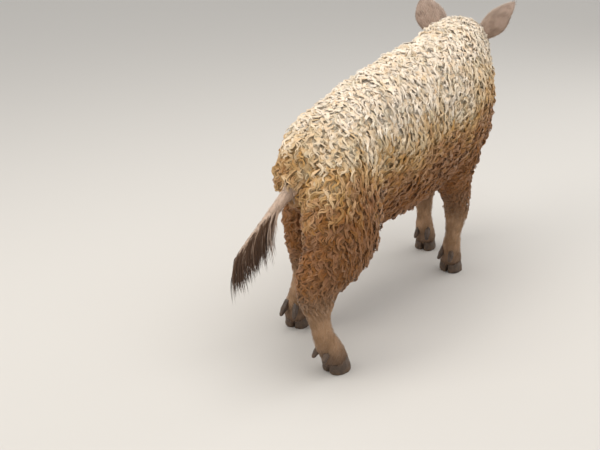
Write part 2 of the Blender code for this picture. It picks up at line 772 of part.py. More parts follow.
def snout(name, material):
    """The oval nose disc with a rounded rim and two blind nostrils."""
    point, normal = snout_plane()
    _, left, _ = head_axes()
    up = normal.cross(left)
    base = point + normal * GAP
    profile = [(0.0, 0.80), (0.25, 0.96), (0.62, 1.0), (0.88, 0.93), (1.0, 0.80), (0.95, 0.50)]
    sides = 18
    points, faces = [], []
    for height, size in profile:
        for k in range(sides):
            a = 2 * math.pi * k / sides
            u, v = superellipse(a, 2.3)
            droop = -0.05 * (1 - v) * (1 - abs(u))
            points.append(base + normal * (SNOUT_DEPTH * height) + left * (SNOUT_WIDTH / 2 * size * u)
                          + up * (SNOUT_HEIGHT / 2 * size * (v + droop)))
    for i in range(len(profile) - 1):
        for k in range(sides):
            j = (k + 1) % sides
            faces.append((i * sides + k, i * sides + j, (i + 1) * sides + j, (i + 1) * sides + k))
    faces.append(tuple(range(sides)))
    faces.append(tuple(range((len(profile) - 1) * sides, len(profile) * sides)))
    disc = facing_out(triangulate(mesh_object(name, points, faces, material)))
    for side in (1, -1):
        mouth_of = base + left * (side * NOSTRIL_SPACING / 2) + up * 0.003
        top = mouth_of + normal * (SNOUT_DEPTH + 0.004)
        low = mouth_of + normal * (SNOUT_DEPTH - NOSTRIL_DEPTH)
        centres = [low, low.lerp(top, 0.5), top]
        halves = [(NOSTRIL_RADIUS * k, NOSTRIL_RADIUS * k * 0.78) for k in (0.62, 0.92, 1.08)]
        hole = facing_out(mesh_object("nostril", *loft(centres, halves, left, 8, 2.0)))
        boolean(disc, hole, "DIFFERENCE")
        remove(hole)
    return keep_largest(disc)


def tail_line(t):
    a = TAIL_ROOT + Vector((0.05, 0, 0.02))
    b = TAIL_ROOT + Vector((-0.045, 0.008, -0.028))
    c = TAIL_ROOT + Vector((-0.090, 0.055, -0.125))
    d = TAIL_ROOT + Vector((-0.130, 0.100, -0.196))
    return bezier(a, b, c, d, t)


def tail(name, material):
    """A hanging tail, round at the root and ending in a flat tassel."""
    rows = [(0.0, 0.022), (0.16, 0.019), (0.30, 0.0165), (0.45, 0.0145), (0.60, 0.0130), (0.72, 0.0145),
            (0.82, 0.0165), (0.91, 0.0145), (0.97, 0.008), (1.0, 0.003)]
    centres = [tail_line(t) for t, _ in rows]
    shell = loft(centres, [(r, r) for _, r in rows], Vector((0, 1, 0)), 10, 2.0)
    return facing_out(mesh_object(name, *shell, material))


def split_body(body, materials):
    """Parts the body into its nodes by thin plane cuts, and returns them by name."""
    for _, place, turn in hoof_places():
        point, normal = coronet_plane(place, turn)
        below = wedge("below", [(point, normal), (place + Vector((0.09, 0, 0)), (1, 0, 0)),
                                (place - Vector((0.09, 0, 0)), (-1, 0, 0)),
                                (place + Vector((0, 0.06, 0)), (0, 1, 0)),
                                (place - Vector((0, 0.06, 0)), (0, -1, 0))], 0.0)
        boolean(body, below, "DIFFERENCE")
        remove(below)
    nose, nose_normal = snout_plane()
    ahead = wedge("ahead", [(nose, -nose_normal), (nose - UP * 0.08, -UP)], 0.0)
    boolean(body, ahead, "DIFFERENCE")
    remove(ahead)
    neck_cut = Vector((0.318, 0.0, 0.50))
    regions = [("head", [(HEAD_CUT, -HEAD_CUT_NORMAL)]),
               *leg_regions(),
               ("neck", [(neck_cut, Vector((-0.86, 0, -0.36)))])]
    nodes = {}
    for name, planes in regions:
        inside = wedge("inside", planes, -GAP / 2)
        outside = wedge("outside", planes, GAP / 2)
        part = copy_of(body, name)
        boolean(part, inside, "INTERSECT")
        boolean(body, outside, "DIFFERENCE")
        remove(inside)
        remove(outside)
        nodes[name] = keep_largest(part)
    body.name = "torso"
    nodes["torso"] = keep_largest(body)
    for name, node in nodes.items():
        node.data.materials.clear()
        node.data.materials.append(materials["face" if name == "head" else "coat"])
    return nodes


def shape_face(head, materials):
    """Cuts the mouth line and the eye sockets, adds the lids, and returns the eyeballs."""
    seats = {side: eye_seat(head, side) for side in (1, -1)}
    cutter = mouth_cutter()
    boolean(head, cutter, "DIFFERENCE")
    remove(cutter)
    lids = bpy.data.collections.new("lids")
    for centre, looks in seats.values():
        rim = eyelids("lid", centre, looks)
        bpy.context.scene.collection.objects.unlink(rim)
        lids.objects.link(rim)
    boolean(head, lids, "UNION")
    for rim in list(lids.objects):
        remove(rim)
    bpy.data.collections.remove(lids)
    eyes = []
    for (side, (centre, looks)), word in zip(seats.items(), ("left", "right")):
        socket = sphere("socket", centre, EYE_RADIUS + GAP * 1.5, None, 10, 16, looks)
        boolean(head, socket, "DIFFERENCE")
        remove(socket)
        eyes.append(sphere(f"eye_{word}", centre, EYE_RADIUS, materials["eye"], 9, 14, looks))
    keep_largest(head)
    return eyes


def rest_on_origin():
    """Moves everything so that the origin is under the middle of the bounding box, on the floor."""
    things = [o for o in bpy.context.scene.objects if o.type == "MESH"]
    corners = np.vstack([vertex_arrays(o)[0] for o in things])
    low, high = corners.min(0), corners.max(0)
    shift = Vector((-(low[0] + high[0]) / 2, -(low[1] + high[1]) / 2, -low[2]))
    for thing in things:
        thing.data.transform(Matrix.Translation(shift))
    return shift


def main():
    clear_scene()
    materials = {
        "coat": finish_material("coat", (0.62, 0.47, 0.29), 0.9),
        "face": finish_material("face", (0.50, 0.42, 0.36), 0.8),
        "ear": finish_material("ear", (0.48, 0.37, 0.32), 0.7),
        "snout": finish_material("snout", (0.06, 0.05, 0.05), 0.45),
        "eye": finish_material("eye", (0.02, 0.012, 0.008), 0.1),
        "hoof": finish_material("hoof", (0.05, 0.04, 0.035), 0.55),
        "tail": finish_material("tail", (0.55, 0.44, 0.36), 0.8),
    }
    body = coated_body()
    nodes = split_body(body, materials)
    head, torso = nodes["head"], nodes["torso"]
    shape_face(head, materials)
    for word, side in (("left", 1), ("right", -1)):
        seat_on(ear(f"ear_{word}", side, materials["ear"]), head)
    snout("snout", materials["snout"])
    hanging = tail("tail", materials["tail"])
    for carrier in (torso, nodes["hind_thigh_left"], nodes["hind_thigh_right"]):
        seat_on(hanging, carrier)
    for foot, place, turn in hoof_places():
        outward = 1 if "left" in foot else -1
        for word, inner in (("outer", outward), ("inner", -outward)):
            claw(f"hoof_{foot}_{word}", place, turn, inner, materials["hoof"])
            spin = Matrix.Rotation(turn, 3, "Z")
            heel = 0.052 if "hind" in foot else 0.039
            root = place + spin @ Vector((-heel + 0.024, inner * 0.012, 0.083))
            tip = place + spin @ Vector((-heel - 0.003, inner * 0.020, 0.045))
            spur = cone(f"dewclaw_{foot}_{word}", root, tip, DEWCLAW_RADIUS, materials["hoof"])
            shank = nodes[("hind" if "hind" in foot else "fore") + "_shank_" + foot.split("_")[1]]
            seat_on(spur, shank)
    for thing in bpy.context.scene.objects:
        thing.data.shade_smooth()
        thing.data.set_sharp_from_angle(angle=math.radians(40))
    shift = rest_on_origin()
    print("origin moved by", [round(v, 5) for v in shift])


main()
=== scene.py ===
"""The looks of a mangalica pig: skin, curly coat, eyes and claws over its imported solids.

Metres, +Z up. The tables and functions below work in the part's own coordinates, with the pig's
middle line at y = 0, and `place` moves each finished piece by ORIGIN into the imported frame.
The skin is one surface under the coat. The coat is locks of solid strands that grow from it.
"""

import math
from collections import namedtuple

import bmesh
import bpy
import numpy as np
from mathutils import Matrix, Vector
from mathutils.bvhtree import BVHTree


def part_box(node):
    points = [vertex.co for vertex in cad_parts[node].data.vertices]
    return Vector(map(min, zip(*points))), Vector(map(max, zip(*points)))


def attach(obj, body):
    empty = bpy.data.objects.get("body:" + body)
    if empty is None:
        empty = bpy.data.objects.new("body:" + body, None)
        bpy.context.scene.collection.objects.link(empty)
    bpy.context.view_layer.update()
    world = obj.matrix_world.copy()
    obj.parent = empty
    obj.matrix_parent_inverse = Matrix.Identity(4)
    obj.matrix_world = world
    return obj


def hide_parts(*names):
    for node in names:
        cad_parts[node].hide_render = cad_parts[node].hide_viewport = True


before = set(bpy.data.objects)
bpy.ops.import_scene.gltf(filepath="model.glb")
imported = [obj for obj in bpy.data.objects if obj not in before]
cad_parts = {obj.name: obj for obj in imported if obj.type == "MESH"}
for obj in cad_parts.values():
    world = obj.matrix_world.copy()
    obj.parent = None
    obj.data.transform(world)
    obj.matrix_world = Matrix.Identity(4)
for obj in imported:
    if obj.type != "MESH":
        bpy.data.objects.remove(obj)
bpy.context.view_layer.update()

ORIGIN = Vector((-0.08241, -0.01699, 0.0))  # the tables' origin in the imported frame

# Sizes of the animal, as in the part
SKIN_VOXEL = 0.0063
COAT_TRUNK = 0.030
COAT_POLL = 0.017
COAT_THIGH = 0.026
COAT_ARM = 0.018
COAT_SHANK = 0.006
COAT_TAIL = 0.004
WOOL_SHARE = 0.64           # how far the wool under the locks reaches towards their tips
SOFT_SHARE = 0.50           # how far a strand is shaded like the skin under it
ROOT_DEPTH = 0.0025         # how deep under the skin a strand starts
LEAST_RISE = 0.0008         # how far off the skin it lies at the least
FLOOR_GAP = 0.003           # how far off the floor it stays
LASH_WIDTH = 0.0009

HEAD_ORIGIN = Vector((0.475, 0.036, 0.630))
HEAD_PITCH = math.radians(36)
HEAD_YAW = math.radians(10)
HEAD_LENGTH = 0.285
HEAD_LOW = 0.33             # the whole head is above this height, and the legs' short coat below it
HEAD_CUT = Vector((0.470, 0.030, 0.600))
HEAD_CUT_NORMAL = Vector((0.98, 0.10, 0.13)).normalized()

HIND_X, FORE_X = -0.350, 0.3465
HIND_Y, FORE_Y = 0.107, 0.072
HIND_SWING, FORE_SWING = 0.076, 0.0575
SWING_LOW, SWING_TOP = {"hind": 0.37, "fore": 0.30}, {"hind": 0.56, "fore": 0.50}
HOCK_FLEX = 0.046
HIND_TOE_OUT = {1: math.radians(6), -1: math.radians(16)}
FORE_TOE_OUT = math.radians(5)
CORONET_Z = 0.036
CORONET_SLOPE = math.radians(20)

EYE_RADIUS = 0.0125
EAR_LENGTH, EAR_WIDTH, EAR_THICK = 0.172, 0.128, 0.006
SNOUT_WIDTH, SNOUT_HEIGHT, SNOUT_DEPTH = 0.082, 0.068, 0.018
NOSTRIL_RADIUS, NOSTRIL_DEPTH, NOSTRIL_SPACING = 0.0085, 0.011, 0.030
TAIL_ROOT = Vector((-0.425, 0.000, 0.476))

# The camera in the tables' coordinates, the lights and the floor
CAMERA_AT = Vector((-2.273, -1.2413, 1.2131))
CAMERA_LOOKS = Vector((0.7756, 0.5195, -0.3584))
CAMERA_LENS, CAMERA_SENSOR = 60.0, 36.0
LIGHTS_LOOK_AT = Vector((0, 0, 0.4))
FLOOR_HALF = 30.0

UP = Vector((0, 0, 1))
SIDES = {"left": 1, "right": -1}
MOST_TRIANGLES = 190_000    # of one coat piece
BAKE_MAP = "OFBake"
BAKE_PATCH = 0.003

# Sections of the trunk from the tail root to the poll: x, y, z, half width, half height
TRUNK = [
    (-0.418, 0.000, 0.500, 0.022, 0.034), (-0.406, 0.000, 0.497, 0.046, 0.064),
    (-0.375, 0.000, 0.486, 0.068, 0.084), (-0.330, 0.000, 0.482, 0.086, 0.107),
    (-0.250, 0.000, 0.467, 0.104, 0.143), (-0.110, 0.000, 0.460, 0.120, 0.173),
    (0.040, 0.000, 0.467, 0.131, 0.187), (0.170, 0.000, 0.478, 0.136, 0.192),
    (0.290, 0.002, 0.498, 0.132, 0.188), (0.370, 0.010, 0.542, 0.114, 0.165),
    (0.430, 0.022, 0.588, 0.098, 0.134), (0.485, 0.037, 0.626, 0.083, 0.101),
]

# Sections of the skull and of the jaw: distance along the head from the poll, top, bottom, half width
SKULL = [
    (-0.050, 0.062, -0.090, 0.070), (-0.015, 0.084, -0.108, 0.084), (0.030, 0.083, -0.108, 0.087),
    (0.070, 0.070, -0.098, 0.080), (0.110, 0.052, -0.082, 0.066), (0.155, 0.041, -0.062, 0.053),
    (0.205, 0.036, -0.046, 0.045), (0.250, 0.038, -0.037, 0.043), (0.272, 0.037, -0.034, 0.041),
]
JAW = [
    (-0.030, -0.040, -0.112, 0.060), (0.030, -0.050, -0.122, 0.067), (0.080, -0.050, -0.113, 0.058),
    (0.135, -0.044, -0.090, 0.042), (0.190, -0.038, -0.068, 0.033), (0.232, -0.036, -0.056, 0.028),
    (0.248, -0.038, -0.050, 0.018),
]

# Sections of a leg in a square stance, from inside the body down to the coronet: z, x, y, half length
# fore and aft, half width
HIND_LEG = [
    (0.540, -0.280, 0.052, 0.070, 0.035), (0.460, -0.286, 0.070, 0.096, 0.048),
    (0.385, -0.294, 0.086, 0.104, 0.050), (0.330, -0.310, 0.094, 0.100, 0.050),
    (0.285, -0.337, 0.092, 0.089, 0.044), (0.240, -0.374, 0.081, 0.069, 0.036),
    (0.200, -0.386, 0.079, 0.050, 0.030), (0.155, -0.390, 0.085, 0.031, 0.025),
    (0.110, -0.384, 0.094, 0.026, 0.024), (0.075, -0.371, 0.101, 0.029, 0.030),
    (0.048, -0.356, 0.106, 0.029, 0.031), (0.024, -0.350, 0.107, 0.029, 0.031),
]
FORE_LEG = [
    (0.560, 0.250, 0.060, 0.065, 0.035), (0.470, 0.262, 0.082, 0.078, 0.044),
    (0.385, 0.278, 0.090, 0.064, 0.042), (0.315, 0.298, 0.089, 0.047, 0.034),
    (0.250, 0.326, 0.087, 0.036, 0.030), (0.195, 0.340, 0.084, 0.032, 0.029),
    (0.160, 0.342, 0.081, 0.028, 0.025), (0.115, 0.341, 0.077, 0.024, 0.022),
    (0.075, 0.342, 0.074, 0.026, 0.027), (0.048, 0.346, 0.072, 0.028, 0.030),
    (0.024, 0.350, 0.072, 0.028, 0.030),
]


# The bare tail: the points that draw its middle line, from its root, and its radius by the way along it
TAIL_CURVE = [(0.05, 0, 0.02), (-0.045, 0.008, -0.028), (-0.090, 0.055, -0.125), (-0.130, 0.100, -0.196)]
TAIL_RADII = [(0.0, 0.026), (0.16, 0.0195), (0.30, 0.0152), (0.50, 0.0130), (0.70, 0.0115), (0.86, 0.0095),
              (0.94, 0.007)]

# Forms pushed out of the head, or into it, on both sides: along, to the side, up, radius, height
FACE_FORMS = [
    (0.078, 0.050, 0.054, 0.020, 0.0050),     # brow
    (0.118, 0.052, 0.020, 0.016, -0.0030),    # hollow before the eye
    (0.060, 0.078, -0.040, 0.034, 0.0065),    # cheek
    (0.150, 0.048, -0.024, 0.022, -0.0028),   # side of the muzzle
    (0.226, 0.040, -0.006, 0.016, 0.0022),    # root of the disc
    (0.030, 0.060, -0.110, 0.036, 0.0070),    # jowl
]
CHIN_FORM = (0.236, 0, -0.058, 0.014, 0.0030)

# The same for the legs, from their middle line: pair, height, x and y from the line, radius, height.
# A form beside the line is made on both sides of it.
LEG_FORMS = [
    ("hind", 0.215, -0.046, 0, 0.020, 0.0065),       # point of the hock
    ("hind", 0.250, -0.012, 0.030, 0.024, -0.0050),  # hollow before the Achilles tendon
    ("hind", 0.135, -0.002, 0.026, 0.018, -0.0025),  # beside the tendons
    ("hind", 0.082, -0.028, 0, 0.016, 0.0035),       # back of the fetlock
    ("fore", 0.190, 0.030, 0, 0.022, 0.0040),        # knee
    ("fore", 0.165, -0.028, 0, 0.016, 0.0040),       # back of the knee
    ("fore", 0.125, 0.0, 0.022, 0.016, -0.0022),
    ("fore", 0.082, -0.026, 0, 0.015, 0.0035),
]

# Half widths of the ear from its root to its tip, as shares of the widest
EAR_WIDTHS = [0.55, 0.78, 0.94, 1.0, 0.99, 0.90, 0.73, 0.48, 0.10]
EAR_ROWS, EAR_COLUMNS = 45, 29

# The nose disc from its middle over the rolled rim to its back: share of its size, share of its depth
DISC_PROFILE = [
    *((0.05 * k, 0.0) for k in range(17)), (0.84, 0.02), (0.88, 0.05), (0.92, 0.08), (0.96, 0.04),
    (0.99, -0.06), (1.0, -0.20), (0.99, -0.36), (0.97, -0.50), (0.93, -0.66), (0.90, -0.82), (0.88, -1.0),
    (0.80, -1.3),
]
DISC_SIDES = 84

# Rings of the lids from their edge on the ball to the skin, as shares of the opening
LID_RINGS = [1.0, 0.97, 0.99, 1.05, 1.14, 1.24, 1.34, 1.46, 1.60, 1.76, 1.94, 2.14, 2.36, 2.60]
LID_THICKNESS = [-0.0012, 0.0010, 0.0022, 0.0027]  # of the first rings, and of all the others
LID_STEPS = 64


# Helpers for meshes

def new_object(name, data):
    thing = bpy.data.objects.new(name, data)
    bpy.context.scene.collection.objects.link(thing)
    return thing


def mesh_object(name, points, faces):
    mesh = bpy.data.meshes.new(name)
    mesh.from_pydata([tuple(p) for p in points], [], [tuple(f) for f in faces])
    mesh.update()
    return new_object(name, mesh)


def smoothed(thing, passes):
    """Smooths the object's surface, and replaces its mesh by what its modifiers make of it."""
    soften = thing.modifiers.new("soften", "SMOOTH")
    soften.factor = 0.5
    soften.iterations = passes
    bpy.context.view_layer.update()
    graph = bpy.context.evaluated_depsgraph_get()
    mesh = bpy.data.meshes.new_from_object(thing.evaluated_get(graph))
    thing.modifiers.clear()
    thing.data = mesh
    return thing


def remeshed(thing, voxel, passes):
    """Makes one closed surface of the object's shells, with faces of the voxel's size, and smooths it."""
    remesh = thing.modifiers.new("remesh", "REMESH")
    remesh.mode = "VOXEL"
    remesh.voxel_size = voxel
    return smoothed(thing, passes)


def grid_faces(rows, columns, wrap=False, base=0):
    """Quads between rows of points. `wrap` closes each row, and base is the number of the first point."""
    faces = []
    for i in range(rows - 1):
        for k in range(columns if wrap else columns - 1):
            j = (k + 1) % columns
            faces.append((base + i * columns + k, base + i * columns + j,
                          base + (i + 1) * columns + j, base + (i + 1) * columns + k))
    return faces


def facing_out(thing):
    """Turns all faces of a closed mesh outwards."""
    work = bmesh.new()
    work.from_mesh(thing.data)
    bmesh.ops.recalc_face_normals(work, faces=work.faces[:])
    work.to_mesh(thing.data)
    work.free()
    return thing


def read(items, key, width, kind=float):
    """A row of numbers for each point, corner or triangle of a mesh."""
    values = np.empty(len(items) * width, kind)
    items.foreach_get(key, values)
    return values.reshape(-1, width)


def vertex_arrays(thing):
    return read(thing.data.vertices, "co", 3), read(thing.data.vertex_normals, "vector", 3)


def set_points(thing, points):
    thing.data.vertices.foreach_set("co", np.asarray(points, np.float32).ravel())
    thing.data.update()


def joined(shells):
    """Points and faces of all the shells in one list each."""
    points, faces = [], []
    for more_points, more_faces in shells:
        base = len(points)
        points += more_points
        faces += [tuple(i + base for i in f) for f in more_faces]
    return points, faces


def blend_between(value, low, high):
    """0 up to low, 1 from high on, and a smooth step between them."""
    t = np.clip((value - low) / (high - low), 0, 1)
    return t * t * (3 - 2 * t)


def unit(vectors):
    return vectors / np.maximum(np.linalg.norm(vectors, axis=-1, keepdims=True), 1e-9)


def away_from(points, centre):
    """How far each point is from the centre."""
    return np.linalg.norm(points - np.array(centre), axis=-1)


def measured(points, origin, axis):
    """How far each point is from the origin along the axis."""
    return (points - np.array(origin)) @ np.array(axis)


def hump(value, middle, width):
    """1 where the value is at the middle, falling to 0 on both sides of it."""
    return np.exp(-((value - middle) / width) ** 2)


def tangent(vectors, normals):
    """The vectors without their part along the normals, as unit vectors."""
    return unit(vectors - normals * (vectors * normals).sum(axis=-1, keepdims=True))


def slow_noise(points, size, seed):
    """A smooth value from about -1 to 1 that changes over `size` metres."""
    random = np.random.RandomState(seed)
    total = 0.0
    for _ in range(5):
        wave = random.normal(0, 1, 3) * 1.6 / size
        total = total + np.sin(points @ wave + random.uniform(0, 2 * math.pi))
    return total / 2.4


def stand_for(piece, material, slot, *nodes):
    """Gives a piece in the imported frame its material, and puts it in the place of these solids."""
    piece.data.materials.clear()
    piece.data.materials.append(material)
    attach(piece, "root")
    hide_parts(*nodes)


def place(piece, material, slot, *nodes):
    """Moves a finished piece from the tables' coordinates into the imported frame."""
    piece.data.transform(Matrix.Translation(ORIGIN))
    stand_for(piece, material, slot, *nodes)


# The skin's shape

def smooth_rows(rows, steps):
    """Rows of numbers with `steps` rows put between each two, on a curve through them all."""
    rows = [np.array(r, float) for r in rows]
    padded = [2 * rows[0] - rows[1], *rows, 2 * rows[-1] - rows[-2]]
    made = []
    for i in range(len(rows) - 1):
        a, b, c, d = padded[i:i + 4]
        for k in range(steps):
            t = k / steps
            made.append(0.5 * (2 * b + (c - a) * t + (2 * a - 5 * b + 4 * c - d) * t ** 2
                               + (3 * b - a - 3 * c + d) * t ** 3))
    return [*made, rows[-1]]


def superellipse(angle, squareness):
    """A point of a unit circle, or of a squarer shape where squareness is over 2."""
    c, s = math.cos(angle), math.sin(angle)
    power = 2 / squareness
    return math.copysign(abs(c) ** power, c), math.copysign(abs(s) ** power, s)


def loft(centres, halves, across, sides, squareness):
    """A closed skin over ovals. `across` gives the direction of each oval's first half width."""
    points = []
    count = len(centres)
    for i, (centre, (wide, high)) in enumerate(zip(centres, halves)):
        ahead = (centres[min(i + 1, count - 1)] - centres[max(i - 1, 0)]).normalized()
        side = (across - ahead * across.dot(ahead)).normalized()
        up = ahead.cross(side)
        for k in range(sides):
            u, v = superellipse(2 * math.pi * k / sides, squareness)
            points.append(centre + side * (wide * u) + up * (high * v))
    faces = grid_faces(count, sides, wrap=True)
    for ring, way in ((0, -1), (count - 1, 1)):
        points.append(centres[ring].copy())
        tip = len(points) - 1
        for k in range(sides):
            pair = (ring * sides + k, ring * sides + (k + 1) % sides)
            faces.append((*pair[::way], tip))
    return points, faces


def head_axes():
    forward = Vector((math.cos(HEAD_PITCH) * math.cos(HEAD_YAW),
                      math.cos(HEAD_PITCH) * math.sin(HEAD_YAW), -math.sin(HEAD_PITCH)))
    left = Vector((-math.sin(HEAD_YAW), math.cos(HEAD_YAW), 0))
    return forward, left, forward.cross(left)


def on_head(along, left, up):
    forward, side, high = head_axes()
    return HEAD_ORIGIN + forward * along + side * left + high * up


def head_coordinates(points):
    """Each point's place along the head from the poll, to its left, and up, as three arrays."""
    return [measured(points, HEAD_ORIGIN, axis) for axis in head_axes()]


def trunk_shell():
    rows = smooth_rows(TRUNK, 4)
    centres = [Vector(r[:3]) for r in rows]
    return loft(centres, [(r[3], r[4]) for r in rows], Vector((0, 1, 0)), 40, 2.1)


def head_shell(rings, squareness=2.3):
    rows = smooth_rows(rings, 5)
    centres = [on_head(r[0], 0, (r[1] + r[2]) / 2) for r in rows]
    halves = [(r[3], (r[1] - r[2]) / 2) for r in rows]
    return loft(centres, halves, head_axes()[1], 36, squareness)


def swing_at(z, pair):
    """How far a left leg is ahead of a square stance at this height, and a right one behind it."""
    swing = HIND_SWING if pair == "hind" else FORE_SWING
    t = min(1.0, max(0.0, (SWING_TOP[pair] - z) / (SWING_TOP[pair] - SWING_LOW[pair])))
    return swing * t * t * (3 - 2 * t)


def flex_at(z):
    """How far the left hock, the bent one, is pushed forward at this height."""
    t = min(1.0, max(0.0, (z - 0.05) / 0.46))
    return HOCK_FLEX * math.sin(math.pi * t ** 0.8)


def leg_line(pair, side):
    """The rows of a leg's sections, and their centres where this leg stands."""
    rows = smooth_rows(HIND_LEG if pair == "hind" else FORE_LEG, 5)
    centres = [Vector((r[1] + side * swing_at(r[0], pair), side * r[2], r[0])) for r in rows]
    if pair == "hind" and side == 1:
        for centre in centres:
            centre.x += flex_at(centre.z)
    return rows, centres


def leg_shell(pair, side):
    rows, centres = leg_line(pair, side)
    return loft(centres, [(r[3], r[4]) for r in rows], Vector((1, 0, 0)), 28, 2.1)


def bezier(a, b, c, d, t):
    return a * (1 - t) ** 3 + b * 3 * t * (1 - t) ** 2 + c * 3 * t * t * (1 - t) + d * t ** 3


def tail_line(t):
    return bezier(*(TAIL_ROOT + Vector(point) for point in TAIL_CURVE), t)


def tail_shell():
    """The bare tail, which is thinner at its end than the solid with its tassel."""
    rows = smooth_rows(TAIL_RADII, 5)
    centres = [tail_line(along) for along, _ in rows]
    return loft(centres, [(radius, radius) for _, radius in rows], Vector((0, 1, 0)), 18, 2.0)


def refine_bare_parts(thing):
    """Splits the faces of the head, the lower legs and the tail into four."""
    work = bmesh.new()
    work.from_mesh(thing.data)
    centres = np.array([f.calc_center_median() for f in work.faces])
    along, _, _ = head_coordinates(centres)
    on_face = (along > 0.02) & (centres[:, 2] > 0.35)
    on_tail = (centres[:, 0] < TAIL_ROOT.x - 0.012) & (centres[:, 2] > 0.20)
    picked = on_face | on_tail | (centres[:, 2] < 0.20)
    edges = {e for f, wanted in zip(work.faces, picked) if wanted for e in f.edges}
    bmesh.ops.subdivide_edges(work, edges=list(edges), cuts=1, use_grid_fill=True)
    work.to_mesh(thing.data)
    work.free()


def blended_skin():
    """Trunk, head, legs and tail as one surface, finest on the face, feet and tail."""
    shells = [trunk_shell(), head_shell(SKULL), head_shell(JAW, 2.1), tail_shell()]
    for side in (1, -1):
        shells.append(leg_shell("hind", side))
        shells.append(leg_shell("fore", side))
    thing = remeshed(facing_out(mesh_object("skin", *joined(shells))), SKIN_VOXEL, 8)
    refine_bare_parts(thing)
    return smoothed(thing, 2)


def push(points, normals, centre, radius, height):
    """Raises the surface by `height` round a centre, less and less out to `radius` and past it."""
    return points + normals * (height * hump(away_from(points, centre), 0, radius))[:, None]


def mouth_line(along):
    """How far up the head the line of the mouth is, and 1 on it, falling to 0 behind its corner."""
    share = np.clip((0.262 - along) / 0.135, 0, 2)
    s = share ** (1 / 1.35)
    inside = 1 - blend_between(s, 0.92, 1.08)
    return -0.0460 - 0.0115 * s + 0.006 * s ** 4, inside


def sculpt_face(thing):
    """Lips, brows, cheeks, folds and the wrinkles of the muzzle."""
    points, normals = vertex_arrays(thing)
    for side in (1, -1):
        for along, across, up, radius, height in FACE_FORMS:
            points = push(points, normals, on_head(along, side * across, up), radius, height)
    points = push(points, normals, on_head(*CHIN_FORM[:3]), *CHIN_FORM[3:])
    along, side, up = head_coordinates(points)
    front = blend_between(along, 0.07, 0.12)
    line, inside = mouth_line(along)
    below = up - line
    under = blend_between(np.abs(side), 0.004, 0.014)
    groove = -0.0036 * hump(below, 0, 0.0022)
    lips = 0.0016 * hump(np.abs(below), 0.0062, 0.0036)
    height = (groove + lips) * inside * under
    ripple = np.sin(along * 560 + 0.9 * slow_noise(points, 0.03, 5) * 2.2)
    bridge = hump(along, 0.236, 0.020) * blend_between(up, 0.0, 0.02)
    height += 0.0016 * ripple * bridge
    crease = np.sin(up * 420 + 1.8 * slow_noise(points, 0.04, 7))
    cheeks = hump(along, 0.135, 0.028) * blend_between(-up, -0.02, 0.02) * (up > -0.07)
    height += 0.0013 * crease * cheeks
    height += 0.0008 * slow_noise(points, 0.016, 9) * front
    on_face = (along > 0.0) & (points[:, 2] > HEAD_LOW)
    set_points(thing, points + normals * (height * front * on_face)[:, None])


def at_feet(points):
    """For each foot its place, which points are near it, and how far each is above its claws' edge."""
    for side in (1, -1):
        for x, y, turn in ((HIND_X + side * HIND_SWING, HIND_Y, HIND_TOE_OUT[side]),
                           (FORE_X + side * FORE_SWING, FORE_Y, FORE_TOE_OUT)):
            foot = Vector((x, side * y, 0))
            tilt = Vector((-math.sin(CORONET_SLOPE), 0, math.cos(CORONET_SLOPE)))
            tilt.rotate(Matrix.Rotation(side * turn, 3, "Z"))
            near = (away_from(points[:, :2], foot.xy) < 0.06) & (points[:, 2] < 0.12)
            yield foot, near, measured(points, foot + UP * CORONET_Z, tilt)


def sculpt_legs(thing):
    """Hocks, knees, fetlocks and tendons, and the end of the skin inside the claws."""
    points, normals = vertex_arrays(thing)
    for side in (1, -1):
        lines = {pair: leg_line(pair, side)[1] for pair in ("hind", "fore")}
        for pair, z, x, y, radius, height in LEG_FORMS:
            on_line = min(lines[pair], key=lambda centre: abs(centre.z - z))
            for beside in ((y, -y) if y else (0,)):
                centre = on_line + Vector((x, beside, 0))
                points = push(points, normals, centre, radius, height)
    low = 1 - blend_between(points[:, 2], 0.10, 0.20)
    wrinkle = np.sin(points[:, 2] * 640 + 2.2 * slow_noise(points, 0.03, 15))
    fetlock = hump(points[:, 2], 0.070, 0.016)
    rough = 0.0008 * slow_noise(points, 0.012, 12) + 0.0007 * wrinkle * fetlock
    points = points + normals * (low * rough)[:, None]
    for foot, near, above in at_feet(points):
        inward = blend_between(-above, -0.004, 0.006) * near * 0.24
        points[:, :2] += (np.array(foot.xy) - points[:, :2]) * inward[:, None]
    set_points(thing, points)


# Pieces of the head that join the skin

def ear_frame(side):
    """An ear's root, its tip, a point that its spine bends towards, and the way its cup faces."""
    forward, left, up = head_axes()
    out = left * side
    root = on_head(0.004, side * 0.052, 0.052)
    rise = (out * 0.50 + up * 0.88 - forward * 0.26).normalized()
    tip = root + rise * EAR_LENGTH * 0.86 + forward * EAR_LENGTH * 0.30 + out * 0.016
    knee = root + rise * EAR_LENGTH * 0.55
    return root, tip, knee, (forward * 0.78 + out * 0.42 - up * 0.30).normalized()


